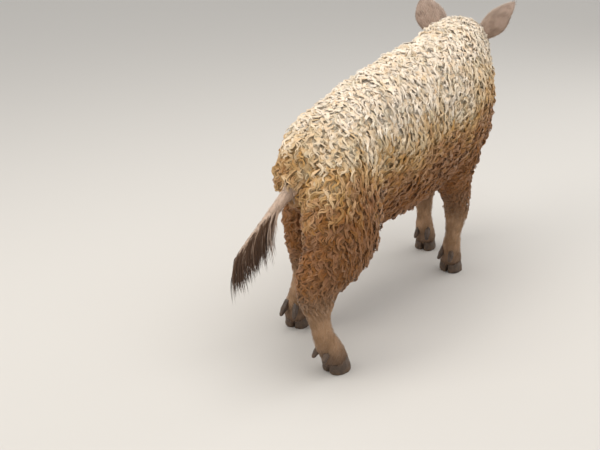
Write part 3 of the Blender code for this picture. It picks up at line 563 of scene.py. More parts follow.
def ear_mesh(side):
    """A leaf-shaped ear, cupped along its length, with ribs in the cup and a rolled rim."""
    root, tip, knee, facing = ear_frame(side)
    rows, columns = EAR_ROWS, EAR_COLUMNS
    widths = smooth_rows([(w,) for w in EAR_WIDTHS], 8)
    inside, outside = [], []

    def spine_at(t):
        return bezier(root, root.lerp(knee, 0.6), knee, tip, t)

    for i in range(rows):
        t = i / (rows - 1)
        spine = spine_at(t)
        ahead = (spine_at(min(1, t + 0.03)) - spine_at(max(0, t - 0.03))).normalized()
        face = (facing - ahead * facing.dot(ahead)).normalized()
        cross = ahead.cross(face)
        half = EAR_WIDTH * 0.5 * float(widths[round(t * (len(widths) - 1))][0])
        curl = math.radians(90 - 55 * t)
        thick = EAR_THICK * (1.25 - 0.75 * t)
        for k in range(columns):
            s = 2 * k / (columns - 1) - 1
            wave = 0.0016 * math.sin(9 * t + 2 * s) * abs(s) ** 2
            angle = s * curl
            radius = half / max(curl, 0.3)
            bend = face * (radius * (1 - math.cos(angle)) + wave) + cross * (radius * math.sin(angle))
            inward = (face * math.cos(angle) - cross * math.sin(angle)).normalized()
            rim = math.sqrt(max(0.0, 1 - abs(s) ** 6)) * 0.85 + 0.15
            ribs = 0.0009 * math.sin(s * 15) * (1 - abs(s)) * math.sin(math.pi * min(1, 1.1 * t))
            inside.append(spine + bend + inward * (thick * 0.5 * rim + ribs))
            outside.append(spine + bend - inward * thick * 0.5 * rim)
    count = rows * columns
    faces = grid_faces(rows, columns) + [f[::-1] for f in grid_faces(rows, columns, base=count)]
    border = list(range(columns))
    border += [i * columns + columns - 1 for i in range(1, rows)]
    border += [(rows - 1) * columns + k for k in range(columns - 2, -1, -1)]
    border += [i * columns for i in range(rows - 2, 0, -1)]
    for a, b in zip(border, border[1:] + border[:1]):
        faces.append((a, a + count, b + count, b))
    return inside + outside, faces


def snout_mesh():
    """The nose disc: a rolled rim, a slightly hollow face and two deep nostrils."""
    forward, left, high = head_axes()
    normal = (forward * 0.985 - high * 0.17).normalized()
    up = normal.cross(left)
    base = on_head(HEAD_LENGTH - SNOUT_DEPTH, 0, 0.002)
    points = []
    for size, depth in DISC_PROFILE:
        for k in range(DISC_SIDES):
            u, v = superellipse(2 * math.pi * k / DISC_SIDES, 2.0 + 0.3 * size)
            droop = -0.05 * (1 - v) * (1 - abs(u)) * size
            x, y = SNOUT_WIDTH / 2 * size * u, SNOUT_HEIGHT / 2 * size * (v + droop)
            sink = 0.0
            if depth > -0.01:
                for side in (1, -1):
                    away = math.hypot((x - side * NOSTRIL_SPACING / 2) / NOSTRIL_RADIUS,
                                      (y - 0.003) / (NOSTRIL_RADIUS * 0.80))
                    sink += NOSTRIL_DEPTH * (1 - float(blend_between(away, 0.45, 1.05)))
                    sink -= 0.0012 * math.exp(-((away - 1.3) / 0.22) ** 2)
                sink += 0.0010 * math.exp(-(x / 0.003) ** 2) * (1 - size)
                sink += 0.0008 * (1 - size * size)
            points.append(base + normal * (SNOUT_DEPTH * (0.96 + depth) - sink) + left * x + up * y)
    return points, grid_faces(len(DISC_PROFILE), DISC_SIDES, wrap=True)


def eye_frames(skin_tree):
    """For each side the eyeball's centre, the way it looks, and the directions along and up the lids."""
    forward, left, up = head_axes()
    made = {}
    for word, side in SIDES.items():
        low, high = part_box(f"eye_{word}")
        centre = (low + high) / 2 - ORIGIN
        _, normal, _, _ = skin_tree.find_nearest(centre)
        looks = (left * side * 0.86 + forward * 0.40 + up * 0.30).normalized()
        looks = (looks + normal * 2.0).normalized()
        along = (forward - looks * forward.dot(looks)).normalized()
        above = looks.cross(along)
        if above.dot(up) < 0:
            above = -above
        made[word] = (centre, looks, along, above)
    return made


def lid_height(x, y):
    """How far in front of the eyeball's centre its surface is, by the place across it."""
    return np.sqrt(np.maximum((EYE_RADIUS * 1.04) ** 2 - x ** 2 - y ** 2, (EYE_RADIUS * 0.30) ** 2))


def lids_mesh(eye, skin_tree):
    """The lids of one eye: from an almond opening on the ball out to the skin, with their folds."""
    centre, looks, along, above = eye
    points = []
    for ring, share in enumerate(LID_RINGS):
        thick = LID_THICKNESS[min(ring, 3)]
        outside = float(blend_between(share, 1.15, 2.1))
        fold = 0.0008 * math.sin((share - 1) * 15) * (1 - outside)
        edge = -0.0012 * float(blend_between(share, 2.2, 2.6))
        for i in range(LID_STEPS):
            a = 2 * math.pi * i / LID_STEPS
            corner = 1 + 0.10 * math.cos(a) ** 8
            x = math.cos(a) * EYE_RADIUS * 0.98 * share * corner
            y = math.sin(a) * EYE_RADIUS * (0.62 if math.sin(a) > 0 else 0.52) * (0.60 * share + 0.40)
            y += EYE_RADIUS * 0.34 * max(0.0, share - 1) * math.sin(a)
            flat = centre + along * x + above * y
            lid = flat + looks * (float(lid_height(x, y)) + thick)
            hit = skin_tree.ray_cast(flat + looks * 0.03, -looks)[0]
            if hit is None:
                hit = skin_tree.find_nearest(lid)[0]
            points.append(lid.lerp(hit + looks * (0.0012 + edge), outside) + looks * fold)
    return points, grid_faces(len(LID_RINGS), LID_STEPS, wrap=True)


def clear_sockets(thing, eyes):
    """Sinks the skin under the lids, so that only they show."""
    points, _ = vertex_arrays(thing)
    for centre, looks, along, above in eyes.values():
        x = measured(points, centre, along) / (EYE_RADIUS * 1.55)
        y = measured(points, centre, above) / (EYE_RADIUS * 1.20)
        near = np.abs(measured(points, centre, looks)) < 0.03
        inside = (1 - blend_between(np.hypot(x, y), 0.80, 1.15)) * near
        points -= np.array(looks) * (inside * 0.010)[:, None]
    set_points(thing, points)


def eyeball(name, eye):
    """A ball with a bulging cornea. Its "pupil" is 1 at the middle of the pupil, and -1 at its back."""
    centre, looks, along, above = eye
    work = bmesh.new()
    bmesh.ops.create_uvsphere(work, u_segments=40, v_segments=28, radius=EYE_RADIUS)
    for vertex in work.verts:
        share = vertex.co.z / EYE_RADIUS
        if share > 0.72:
            vertex.co.z += EYE_RADIUS * 0.07 * float(blend_between(share, 0.72, 1.0))
    axes = Matrix((along, above, looks)).transposed().to_4x4()
    work.transform(Matrix.Translation(centre) @ axes)
    mesh = bpy.data.meshes.new(name)
    work.to_mesh(mesh)
    work.free()
    mesh.shade_smooth()
    ball = new_object(name, mesh)
    points, _ = vertex_arrays(ball)
    write_fields(mesh, {"pupil": unit(points - np.array(centre)) @ np.array(looks)})
    return ball


def write_fields(mesh, fields):
    """Stores each array, of a number or a vector for each point, as an attribute of the mesh."""
    for name, values in fields.items():
        kind, key = ("FLOAT_VECTOR", "vector") if np.ndim(values) == 2 else ("FLOAT", "value")
        attribute = mesh.attributes.new(name, kind, "POINT")
        attribute.data.foreach_set(key, np.asarray(values, np.float32).ravel())


# What the skin and the coat share: depth, lie and markings

def on_tail(points):
    """How far each point is along the tail, from 0 to 1, and how far from its middle line."""
    line = np.array([tail_line(k / 40) for k in range(41)])
    away = away_from(points[:, None, :], line)
    nearest = away.argmin(axis=1)
    return nearest / 40, away[np.arange(len(points)), nearest]


def tail_shares(points):
    """Two shares: 1 on the free part of the tail, and 1 on its end, rising from before its middle."""
    share, tassel = np.zeros(len(points)), np.zeros(len(points))
    near = (points[:, 0] < TAIL_ROOT.x + 0.01) & (points[:, 2] < TAIL_ROOT.z + 0.02) & (points[:, 2] > 0.22)
    along, away = on_tail(points[near])
    share[near] = blend_between(along, 0.16, 0.30) * (1 - blend_between(away, 0.021, 0.030))
    tassel[near] = blend_between(along, 0.40, 0.72) * (away < 0.030)
    return share, tassel


def brush_share(points, normals):
    """1 where the brush of the tail grows: on the last half, but for its upper side."""
    _, tassel = tail_shares(points)
    return tassel * blend_between(-normals[:, 2], -0.60, 0.0)


def past_head_cut(points):
    """How far each point is ahead of the plane between neck and head."""
    return measured(points, HEAD_CUT, HEAD_CUT_NORMAL)


def coat_depth(points):
    """How far the coat's tips stand off the skin at each point."""
    p = np.asarray(points, float)
    upper_leg = np.where(p[:, 0] > 0.05, COAT_ARM, COAT_THIGH)
    leg = COAT_SHANK + (upper_leg - COAT_SHANK) * blend_between(p[:, 2], 0.16, 0.30)
    leg *= blend_between(p[:, 2], 0.03, 0.08)
    body = leg + (COAT_TRUNK - leg) * blend_between(p[:, 2], 0.30, 0.42)
    ahead = past_head_cut(p)
    nape = COAT_TRUNK + (COAT_POLL - COAT_TRUNK) * blend_between(ahead, -0.07, 0.02)
    face = nape * (1 - 0.92 * blend_between(ahead, 0.03, 0.10))
    depth = np.where((ahead > -0.07) & (p[:, 2] > HEAD_LOW), np.minimum(body, face), body)
    return depth + (COAT_TAIL - depth) * tail_shares(p)[0]


def wool_height(points):
    """How far the matted wool under the locks stands off the bare skin, with hollows between its clumps."""
    depth = coat_depth(points)
    clumps = 0.86 + 0.14 * slow_noise(points, 0.011, 41)
    return WOOL_SHARE * depth * clumps * blend_between(depth, 0.007, 0.018)


def coat_lie(points, normals):
    """The way the hair lies: back and down on the trunk, down the legs and tail, back from the snout."""
    legs = 1 - blend_between(points[:, 2], 0.26, 0.36)
    rump = blend_between(-points[:, 0], 0.26, 0.38)
    lie = np.stack([-1 + 0.6 * np.maximum(legs, rump), 0 * legs, -0.75 - 2.0 * legs - 0.7 * rump], axis=1)
    forward, _, up = (np.array(axis) for axis in head_axes())
    head = (blend_between(past_head_cut(points), -0.02, 0.08) * (points[:, 2] > HEAD_LOW))[:, None]
    lie = tangent(lie * (1 - head) + (0.25 * up - forward) * head, normals)
    turn = (0.55 * slow_noise(points, 0.16, 21) + 0.40 * slow_noise(points, 0.05, 22))[:, None]
    turn = turn * (1 - 0.7 * np.maximum(head, tail_shares(points)[0][:, None]))
    return lie * np.cos(turn) + np.cross(normals, lie) * np.sin(turn)


def face_share(points):
    """1 on the short-haired face, falling to 0 between the ears and behind the cheeks."""
    along, _, _ = head_coordinates(points)
    face = blend_between(past_head_cut(points), 0.02, 0.13) * (points[:, 2] > HEAD_LOW)
    return face * blend_between(along, -0.02, 0.03)


def dark_share(points, eyes):
    """Where the face is dark: round the eyes, on the lips and behind the disc."""
    along, _, up = head_coordinates(points)
    dark = np.zeros(len(points))
    for centre, looks, ahead, above in eyes.values():
        axes = np.array([looks, ahead / 1.20, above / 0.86])
        away = np.linalg.norm((points - np.array(centre)) @ axes.T, axis=1)
        dark = np.maximum(dark, 1 - blend_between(away, 0.0135, 0.026))
    line, inside = mouth_line(along)
    lips = hump(up, line, 0.006) * inside * 0.6
    disc = blend_between(along, 0.254, 0.270) * 0.85
    return np.maximum(dark, np.maximum(lips, disc)) * (points[:, 2] > HEAD_LOW)


def coloured(points, normals, eyes):
    """What the markings read at each point of the skin, or at each strand's root."""
    tail, _ = tail_shares(points)
    return {"root": points + np.array(ORIGIN), "facing": normals[:, 2], "face": face_share(points),
            "muzzle": blend_between(head_coordinates(points)[0], 0.13, 0.25),
            "dark": dark_share(points, eyes), "tail": tail,
            "tassel": np.minimum(1, 4 * brush_share(points, normals))}


# The coat

Roots = namedtuple("Roots", "place normal lie depth uv")
Lock = namedtuple("Lock", "tries spacing strands segments width spread base reach bend turns roll lowest "
                          "highest sag", defaults=(0.84, 0))


def skin_samples(thing, count, random, share):
    """Random points on the skin, more where share is more: place, normal, and place on its unwrap.

    `share` is a number for each point of the skin's mesh.
    """
    mesh = thing.data
    mesh.calc_loop_triangles()
    corners = read(mesh.loop_triangles, "vertices", 3, np.int32)
    loops = read(mesh.loop_triangles, "loops", 3, np.int32)
    uv = read(mesh.uv_layers[BAKE_MAP].uv, "vector", 2)[loops]
    points, normals = vertex_arrays(thing)
    a, b, c = (points[corners[:, k]] for k in range(3))
    weight = np.linalg.norm(np.cross(b - a, c - a), axis=1) * share[corners].mean(axis=1)
    picked = random.choice(len(corners), count, p=weight / weight.sum())
    u, v = random.rand(2, count)
    over = u + v > 1
    u[over], v[over] = 1 - u[over], 1 - v[over]
    mix = np.stack([1 - u - v, u, v], axis=1)[:, :, None]
    where = (points[corners[picked]] * mix).sum(axis=1)
    facing = unit((normals[corners[picked]] * mix).sum(axis=1))
    return where, facing, (uv[picked] * mix).sum(axis=1)


def spaced(points, spacing):
    """Which of the points to keep so that each has its spacing free round it."""
    cell = float(spacing.max())
    grid, kept = {}, []
    steps = [(x, y, z) for x in (-1, 0, 1) for y in (-1, 0, 1) for z in (-1, 0, 1)]
    for i, ((x, y, z), gap) in enumerate(zip(points.tolist(), spacing.tolist())):
        cx, cy, cz = int(x // cell), int(y // cell), int(z // cell)
        near = (other for dx, dy, dz in steps for other in grid.get((cx + dx, cy + dy, cz + dz), ()))
        if all((x - q[0]) ** 2 + (y - q[1]) ** 2 + (z - q[2]) ** 2 > gap * gap for q in near):
            grid.setdefault((cx, cy, cz), []).append((x, y, z))
            kept.append(i)
    return np.array(kept)


def roots_on(thing, lock, random, share, spacing_at=None):
    """Evenly spaced roots, sparser underneath, where `share` of the skin's points is over 0."""
    where, facing, uv = skin_samples(thing, lock.tries, random, share)
    spacing = spacing_at(where) if spacing_at else np.full(len(where), lock.spacing)
    kept = spaced(where, spacing * (1 + 0.22 * blend_between(-facing[:, 2], 0.3, 0.8)))
    where, facing, uv = where[kept], facing[kept], uv[kept]
    return Roots(where, facing, coat_lie(where, facing), coat_depth(where), uv)


def on_skin(tree, points):
    """The nearest point of the skin to each point, and the normal there."""
    found = [tree.find_nearest(p)[:2] for p in points.reshape(-1, 3).tolist()]
    places = np.array([f[0] for f in found]).reshape(points.shape)
    normals = np.array([f[1] for f in found]).reshape(points.shape)
    return places, normals


def lock_paths(roots, lock, random, tree):
    """Each lock's swinging path over the skin, the ways across it and out of the skin, and its length.

    Without a tree the locks leave the skin where they grow, and don't follow it.
    """
    count = len(roots.place)
    fine = 2 * lock.segments + 1
    t = np.linspace(0, 1, fine)[None, :]

    def each(low, high):
        return random.uniform(low, high, (count, 1))

    size = roots.depth[:, None]
    curly = blend_between(size, 0.004, 0.017)
    length = (lock.base + size * lock.reach) * each(0.72, 1.25)
    angle = each(0, 2 * math.pi) + 2 * math.pi * lock.turns * each(0.75, 1.25) * t
    swing = lock.bend * (0.15 + 0.85 * curly) * each(0.7, 1.2)
    hook = each(-1.6, 1.6) * curly * np.maximum(0, t - 0.5)
    heading = swing * np.sin(angle) * blend_between(t, -0.1, 0.25) + hook
    step = length / (fine - 1)
    ahead = np.cumsum(np.cos(heading) * step, axis=1) - np.cos(heading[:, :1]) * step
    aside = np.cumsum(np.sin(heading) * step, axis=1) - np.sin(heading[:, :1]) * step
    across = np.cross(roots.normal, roots.lie)[:, None, :]
    lie = roots.lie[:, None, :]
    flat = roots.place[:, None, :] + lie * ahead[..., None] + across * aside[..., None]
    if lock.sag:
        flat = flat - (lie * 0.55 + np.array(UP) * 0.85) * (lock.sag * ahead * t)[..., None]
    feet, normals = on_skin(tree, flat) if tree else (flat, roots.normal[:, None, :] + 0 * flat)
    top = size * each(lock.lowest, lock.highest)
    if tree:
        top = np.maximum(top - wool_height(roots.place)[:, None], 0.0010)
    lift = np.sin(np.minimum(1, t / 0.42) * math.pi / 2) * (1 - 0.5 * np.maximum(0, t - 0.45))
    roll = size * lock.roll * curly * np.cos(angle) * blend_between(t, 0.1, 0.4)
    rise = np.maximum(top * lift + roll, LEAST_RISE) - ROOT_DEPTH * (t < 0.01)
    guide = feet + normals * rise[..., None]
    turned = across * np.cos(heading)[..., None] - lie * np.sin(heading)[..., None]
    return guide, turned, normals, length


def strand_lines(roots, lock, random, tree):
    """The middle lines of all strands: (locks, strands, rings, 3), with the way across each ring."""
    guide, turned, normals, length = lock_paths(roots, lock, random, tree)
    count, fine = guide.shape[:2]
    strands = lock.strands
    t = np.linspace(0, 1, lock.segments + 1)
    share = random.uniform(0.80, 1.0, (count, strands, 1))
    at = share * t * (fine - 1)
    low = np.minimum(at.astype(int), fine - 2)
    part = (at - low)[..., None]
    pick = np.arange(count)[:, None, None]
    lines = guide[pick, low] * (1 - part) + guide[pick, low + 1] * part
    wide, out = turned[pick, low], normals[pick, low]
    place_in = (np.arange(strands) - (strands - 1) / 2)[None, :, None] / max(strands / 2, 1)
    place_in = place_in + random.uniform(-0.35, 0.35, (count, strands, 1))
    scale = strand_scale(roots.depth)[:, None, None]
    radius = lock.spread * scale * place_in * (1 - 0.72 * t)
    twist = random.uniform(-1.1, 1.1, (count, 1, 1)) + random.uniform(-1.6, 1.6, (count, 1, 1)) * t
    lines = lines + wide * (radius * np.cos(twist))[..., None]
    lines = lines + out * (0.6 * radius * np.sin(twist))[..., None]
    loose = random.normal(0, 0.06, (count, strands, 1, 3)) * (length[:, :, None, None] * t[:, None] ** 2)
    return lines + loose, wide


def strand_scale(depth):
    """Strands are thinner where the coat is short."""
    return 0.34 + 0.66 * np.clip(depth / COAT_TRUNK, 0, 1)


def strand_points(lines, wide, width):
    """Three-cornered rings along each line, thinner towards the tip."""
    ahead = unit(np.gradient(lines, axis=-2))
    across = tangent(wide, ahead)
    up = np.cross(ahead, across)
    rings = lines.shape[-2] - 1
    t = np.linspace(0, 1, rings + 1)[:rings]
    shape = (0.60 + 0.40 * np.sin(np.minimum(1, t / 0.45) * math.pi / 2)) * np.sqrt(1 - t ** 2.4)
    sizes = width.reshape(len(width), *[1] * (lines.ndim - 2)) * 0.5 * shape
    corners = []
    for angle in (math.pi / 2, math.pi * 7 / 6, math.pi * 11 / 6):
        offset = across * math.cos(angle) + up * (0.70 * math.sin(angle))
        corners.append(lines[..., :rings, :] + offset[..., :rings, :] * sizes[..., None])
    flat = np.stack(corners, axis=-2).reshape(-1, rings * 3, 3)
    return np.concatenate([flat, lines.reshape(-1, rings + 1, 3)[:, -1:, :]], axis=1)


def strand_faces(rings):
    """Corners of one strand's quads and triangles."""
    quads, triangles = [], [(2, 1, 0)]
    for m in range(3):
        n = (m + 1) % 3
        for r in range(rings - 1):
            quads.append((r * 3 + m, r * 3 + n, r * 3 + 3 + n, r * 3 + 3 + m))
        triangles.append(((rings - 1) * 3 + m, (rings - 1) * 3 + n, rings * 3))
    return np.array(quads), np.array(triangles)


def soften_normals(mesh, facing):
    """Turns the shading of each strand towards the skin it grows from, as light spreads through wool."""
    own = read(mesh.vertex_normals, "vector", 3)
    mixed = unit(own * (1 - SOFT_SHARE) + facing * SOFT_SHARE)
    mesh.normals_split_custom_set_from_vertices(mixed.tolist())


def coat_mesh(name, points, fields, uv, facing):
    """One mesh of many strands. fields and facing hold a value for each strand, and uv its root's place."""
    strands, corners = points.shape[:2]
    rings = (corners - 1) // 3
    quads, triangles = strand_faces(rings)
    mesh = bpy.data.meshes.new(name)
    mesh.vertices.add(strands * corners)
    mesh.vertices.foreach_set("co", points.astype(np.float32).ravel())
    base = (np.arange(strands) * corners)[:, None, None]
    loops = np.concatenate([(quads[None] + base).reshape(strands, -1),
                            (triangles[None] + base).reshape(strands, -1)], axis=1)
    counts = np.tile([4] * len(quads) + [3] * len(triangles), strands)
    mesh.loops.add(loops.size)
    mesh.loops.foreach_set("vertex_index", loops.ravel().astype(np.int32))
    mesh.polygons.add(len(counts))
    mesh.polygons.foreach_set("loop_start", np.concatenate([[0], np.cumsum(counts)[:-1]]).astype(np.int32))
    mesh.update(calc_edges=True)
    mesh.shade_smooth()
    soften_normals(mesh, np.repeat(facing, corners, axis=0))
    thing = new_object(name, mesh)
    along = np.append(np.repeat(np.arange(rings) / rings, 3), 1.0)
    around = np.append(np.tile([0.0, 0.5, 1.0], rings), 0.5)
    write_fields(mesh, {"along": np.tile(along, strands), "around": np.tile(around, strands),
                        **{field: np.repeat(values, corners, axis=0) for field, values in fields.items()}})
    patch = np.stack([along - 0.5, around - 0.5], axis=1) * BAKE_PATCH
    corner_uv = (uv[:, None, :] + patch[None]).reshape(-1, 2)
    layer = mesh.uv_layers.new(name=BAKE_MAP)
    layer.uv.foreach_set("vector", corner_uv[loops.ravel()].astype(np.float32).ravel())
    return thing


def grow(name, roots, lock, random, tree, eyes, material, slot, **marks):
    """Grows locks from the roots, in pieces small enough to export, and places them.

    `marks` are markings that have one value all over these locks.
    """
    lines, wide = strand_lines(roots, lock, random, tree)
    lines[..., 2] = np.maximum(lines[..., 2], FLOOR_GAP)
    points = strand_points(lines, wide, lock.width * strand_scale(roots.depth))
    each = lock.strands
    place_of, facing = np.repeat(roots.place, each, axis=0), np.repeat(roots.normal, each, axis=0)
    fields = {
        **coloured(place_of, facing, eyes),
        "short": np.repeat(1 - blend_between(roots.depth, 0.004, 0.014), each),
        "tint": np.repeat(random.uniform(-1, 1, len(roots.place)), each) * 0.8
        + random.uniform(-1, 1, len(place_of)) * 0.2,
    }
    fields.update({mark: np.full(len(place_of), value) for mark, value in marks.items()})
    uv = np.repeat(roots.uv, each, axis=0) + random.uniform(-1, 1, (len(place_of), 2)) * BAKE_PATCH
    per_strand = (lock.segments - 1) * 6 + 4
    order = np.argsort(np.repeat(roots.place[:, 0], each), kind="stable")
    parts = math.ceil(len(order) * per_strand / MOST_TRIANGLES)
    for k, picked in enumerate(np.array_split(order, parts)):
        piece = coat_mesh(f"{name}_{k + 1}", points[picked],
                          {f: v[picked] for f, v in fields.items()}, uv[picked], facing[picked])
        place(piece, material, slot, *FLESH)
    print(name, len(roots.place), "locks,", len(points) * per_strand, "triangles in", parts)


def lashes(eyes, random, material):
    """Curved lashes along the upper lid, and shorter ones along the lower."""
    lines, wide = [], []
    t = np.linspace(0, 1, 7)[:, None]
    for centre, looks, along, above in eyes.values():
        for edge, count, length in ((1, 22, 0.0105), (-1, 10, 0.006)):
            for k in range(count):
                a = math.pi * (0.10 + 0.80 * (k + random.uniform(-0.3, 0.3)) / (count - 1))
                x = math.cos(a) * EYE_RADIUS * 1.03
                y = math.sin(a) * EYE_RADIUS * (0.64 if edge > 0 else -0.54)
                root = np.array(centre + along * x + above * y + looks * (float(lid_height(x, y)) + 0.0018))
                out = np.array(looks * 0.9 + along * (0.5 * math.cos(a)) + above * (0.15 * edge))
                bend = np.array(above * (0.75 * edge))
                size = length * random.uniform(0.7, 1.1)
                lines.append(root + (out * t + bend * t ** 2) * size)
                wide.append(np.broadcast_to(np.array(along), (7, 3)))
    lines, wide = np.array(lines), np.array(wide)
    points = strand_points(lines, wide, np.full(len(lines), LASH_WIDTH))
    normals = np.broadcast_to(np.array((0.0, 0.0, 0.2)), lines[:, 0].shape)
    fields = {**coloured(lines[:, 0], normals, eyes), "short": np.ones(len(lines)),
              "dark": np.full(len(lines), 0.9), "tint": random.uniform(-1, 0, len(lines))}
    number = np.arange(len(lines))
    uv = np.stack([(number % 10 + 0.5) / 10, (number // 10 + 0.5) / 10], axis=1)
    place(coat_mesh("lashes", points, fields, uv, normals), material, "face", "head")


# Materials

def srgb(red, green, blue):
    """A colour given as 0 to 255 on a screen, as the shader wants it."""
    linear = []
    for value in (red, green, blue):
        v = value / 255
        linear.append(v / 12.92 if v <= 0.04045 else ((v + 0.055) / 1.055) ** 2.4)
    return (*linear, 1.0)


class Nodes:
    """Short ways to add nodes to a material's tree."""

    def __init__(self, name):
        self.material = bpy.data.materials.new(name)
        self.material.use_nodes = True
        self.tree = self.material.node_tree
        self.shader = self.tree.nodes["Principled BSDF"]

    def add(self, kind, inputs, output=0, **settings):
        node = self.tree.nodes.new(kind)
        for key, value in settings.items():
            setattr(node, key, value)
        for key, value in inputs.items():
            self.put(node.inputs[key], value)
        return node.outputs[output]

    def put(self, socket, value):
        if isinstance(value, bpy.types.NodeSocket):
            self.tree.links.new(value, socket)
        else:
            socket.default_value = value

    def attribute(self, name, output="Fac"):
        return self.add("ShaderNodeAttribute", {}, output, attribute_name=name)

    def maths(self, operation, a, b=0.0):
        return self.add("ShaderNodeMath", {0: a, 1: b}, operation=operation)

    def times(self, a, b):
        return self.maths("MULTIPLY", a, b)

    def span(self, value, low, high, to_low=0.0, to_high=1.0):
        """Goes smoothly from to_low to to_high while the value goes from low to high."""
        return self.add("ShaderNodeMapRange", {"Value": value, "From Min": low, "From Max": high,
                                               "To Min": to_low, "To Max": to_high},
                        interpolation_type="SMOOTHSTEP")

    def noise(self, where, scale, detail, roughness=0.55, distortion=0.0):
        return self.add("ShaderNodeTexNoise", {"Vector": where, "Scale": scale, "Detail": detail,
                                               "Roughness": roughness, "Distortion": distortion})

    def patches(self, where, scale, detail, low, high, to_low=0.0, to_high=1.0, roughness=0.55):
        """Soft-edged patches, that go from one value to the other."""
        return self.span(self.noise(where, scale, detail, roughness), low, high, to_low, to_high)

    def height_and_length(self, where):
        """How high up the body a place is, and how far forward."""
        height = self.add("ShaderNodeSeparateXYZ", {"Vector": where}, 2)
        return height, height.node.outputs[0]

    def shade(self, colour, value, saturation=1.0):
        """The colour with its brightness and saturation multiplied."""
        return self.add("ShaderNodeHueSaturation", {"Color": colour, "Value": value,
                                                    "Saturation": saturation})

    def mix(self, share, a, b, blend="MIX"):
        return self.add("ShaderNodeMix", {0: share, 6: a, 7: b}, 2, data_type="RGBA", blend_type=blend)

    def ramp(self, value, stops):
        """Colours by the value, each at its own position."""
        out = self.add("ShaderNodeValToRGB", {"Fac": value})
        elements = out.node.color_ramp.elements
        while len(elements) < len(stops):
            elements.new(0.5)
        for element, (position, colour) in zip(elements, stops):
            element.position = position
            element.color = colour
        return out

    def bump(self, height, distance, strength, after=None):
        inputs = {"Height": height, "Distance": distance, "Strength": strength}
        if after:
            inputs["Normal"] = after
        return self.add("ShaderNodeBump", inputs)

    def finish(self, **sockets):
        """Connects these inputs of the shader, named in lower case."""
        for name, value in sockets.items():
            self.put(self.shader.inputs[name.replace("_", " ").title().replace("Ior", "IOR")], value)
        return self.material


PALE, CREAM, GOLD = srgb(247, 232, 212), srgb(240, 218, 184), srgb(216, 174, 116)
TAN, RUST, UMBER, MUD = srgb(188, 140, 90), srgb(162, 112, 67), srgb(134, 96, 64), srgb(104, 82, 66)
# The second colour below is a painted shade, multiplied over each strand towards its root
GREY_GREEN, ROOT_SHADE = srgb(206, 194, 160), srgb(242, 228, 208)
LEG_PINK, LEG_BROWN = srgb(200, 160, 124), srgb(162, 126, 92)
FACE_PINK, FACE_GREY, FACE_DARK = srgb(242, 224, 206), srgb(236, 224, 204), srgb(62, 47, 40)
MUZZLE_GREY = srgb(208, 186, 172)
TAIL_PINK, TAIL_DIRT = srgb(222, 194, 172), srgb(90, 63, 43)
EAR_PINK, EAR_GREY, EAR_CUP = srgb(166, 140, 124), srgb(134, 110, 94), srgb(104, 72, 58)
DISC_DARK, DISC_PINK = srgb(60, 49, 45), srgb(98, 77, 70)

# The coat's colours from the lowest tone, which is near a point's height in metres, to the highest
TONES = [(0.03, MUD), (0.14, UMBER), (0.26, RUST), (0.38, RUST), (0.45, TAN), (0.505, GOLD), (0.57, CREAM),
         (0.64, PALE)]


def markings(nodes):
    """The animal's colour by place: cream above, gold, rust and mud below, with a paler face, and painted
    light: paler where it faces up, browner over the rump.
    """
    where = nodes.attribute("root", "Vector")
    height, length = nodes.height_and_length(where)
    # Painted light from above: places that face up are paler, and places that face down browner
    tone = nodes.maths("MULTIPLY_ADD", nodes.attribute("facing"), 0.055)
    nodes.put(tone.node.inputs[2], height)
    tone = nodes.maths("ADD", tone, nodes.patches(where, 6.0, 2.0, 0.3, 0.7, -0.045, 0.045))
    tone = nodes.maths("ADD", tone, nodes.patches(where, 22.0, 3.0, 0.3, 0.7, -0.040, 0.040, 0.6))
    tone = nodes.maths("SUBTRACT", tone, nodes.span(length, -0.1, 0.40, 0.0, 0.045))
    # Painted shade: towards the rear, over the rump and thighs, the tone is a little browner
    tone = nodes.maths("SUBTRACT", tone, nodes.span(length, -0.32, -0.14, 0.012, 0.0))
    colour = nodes.ramp(tone, TONES)
    grey = nodes.times(nodes.patches(where, 38.0, 2.0, 0.50, 0.68), nodes.span(tone, 0.43, 0.55, 0.0, 0.50))
    colour = nodes.mix(grey, colour, GREY_GREEN)
    golden = nodes.patches(where, 75.0, 2.0, 0.52, 0.70, 0.0, 0.45)
    colour = nodes.mix(nodes.times(golden, nodes.span(tone, 0.32, 0.46)), colour, GOLD)
    leg = nodes.mix(nodes.patches(where, 30.0, 4.0, 0.36, 0.64), LEG_PINK, LEG_BROWN)
    leg = nodes.mix(nodes.span(height, 0.030, 0.11, 0.75, 0.0), leg, MUD)
    colour = nodes.mix(nodes.span(height, 0.13, 0.29, 0.92, 0.0), colour, leg)
    face = nodes.mix(nodes.patches(where, 42.0, 4.0, 0.38, 0.66, roughness=0.6), FACE_PINK, FACE_GREY)
    face = nodes.mix(nodes.attribute("muzzle"), face, MUZZLE_GREY)
    tail = nodes.mix(nodes.patches(where, 60.0, 3.0, 0.50, 0.80, 0.0, 0.5), TAIL_PINK, TAIL_DIRT)
    tail = nodes.mix(nodes.attribute("tassel"), tail, TAIL_DIRT)
    ear = nodes.mix(nodes.patches(where, 50.0, 4.0, 0.35, 0.65), EAR_PINK, EAR_GREY)
    ear = nodes.mix(nodes.attribute("cup"), ear, EAR_CUP)
    for name, over in (("face", face), ("tail", tail), ("ear", ear), ("dark", FACE_DARK)):
        colour = nodes.mix(nodes.attribute(name), colour, over)
    return colour


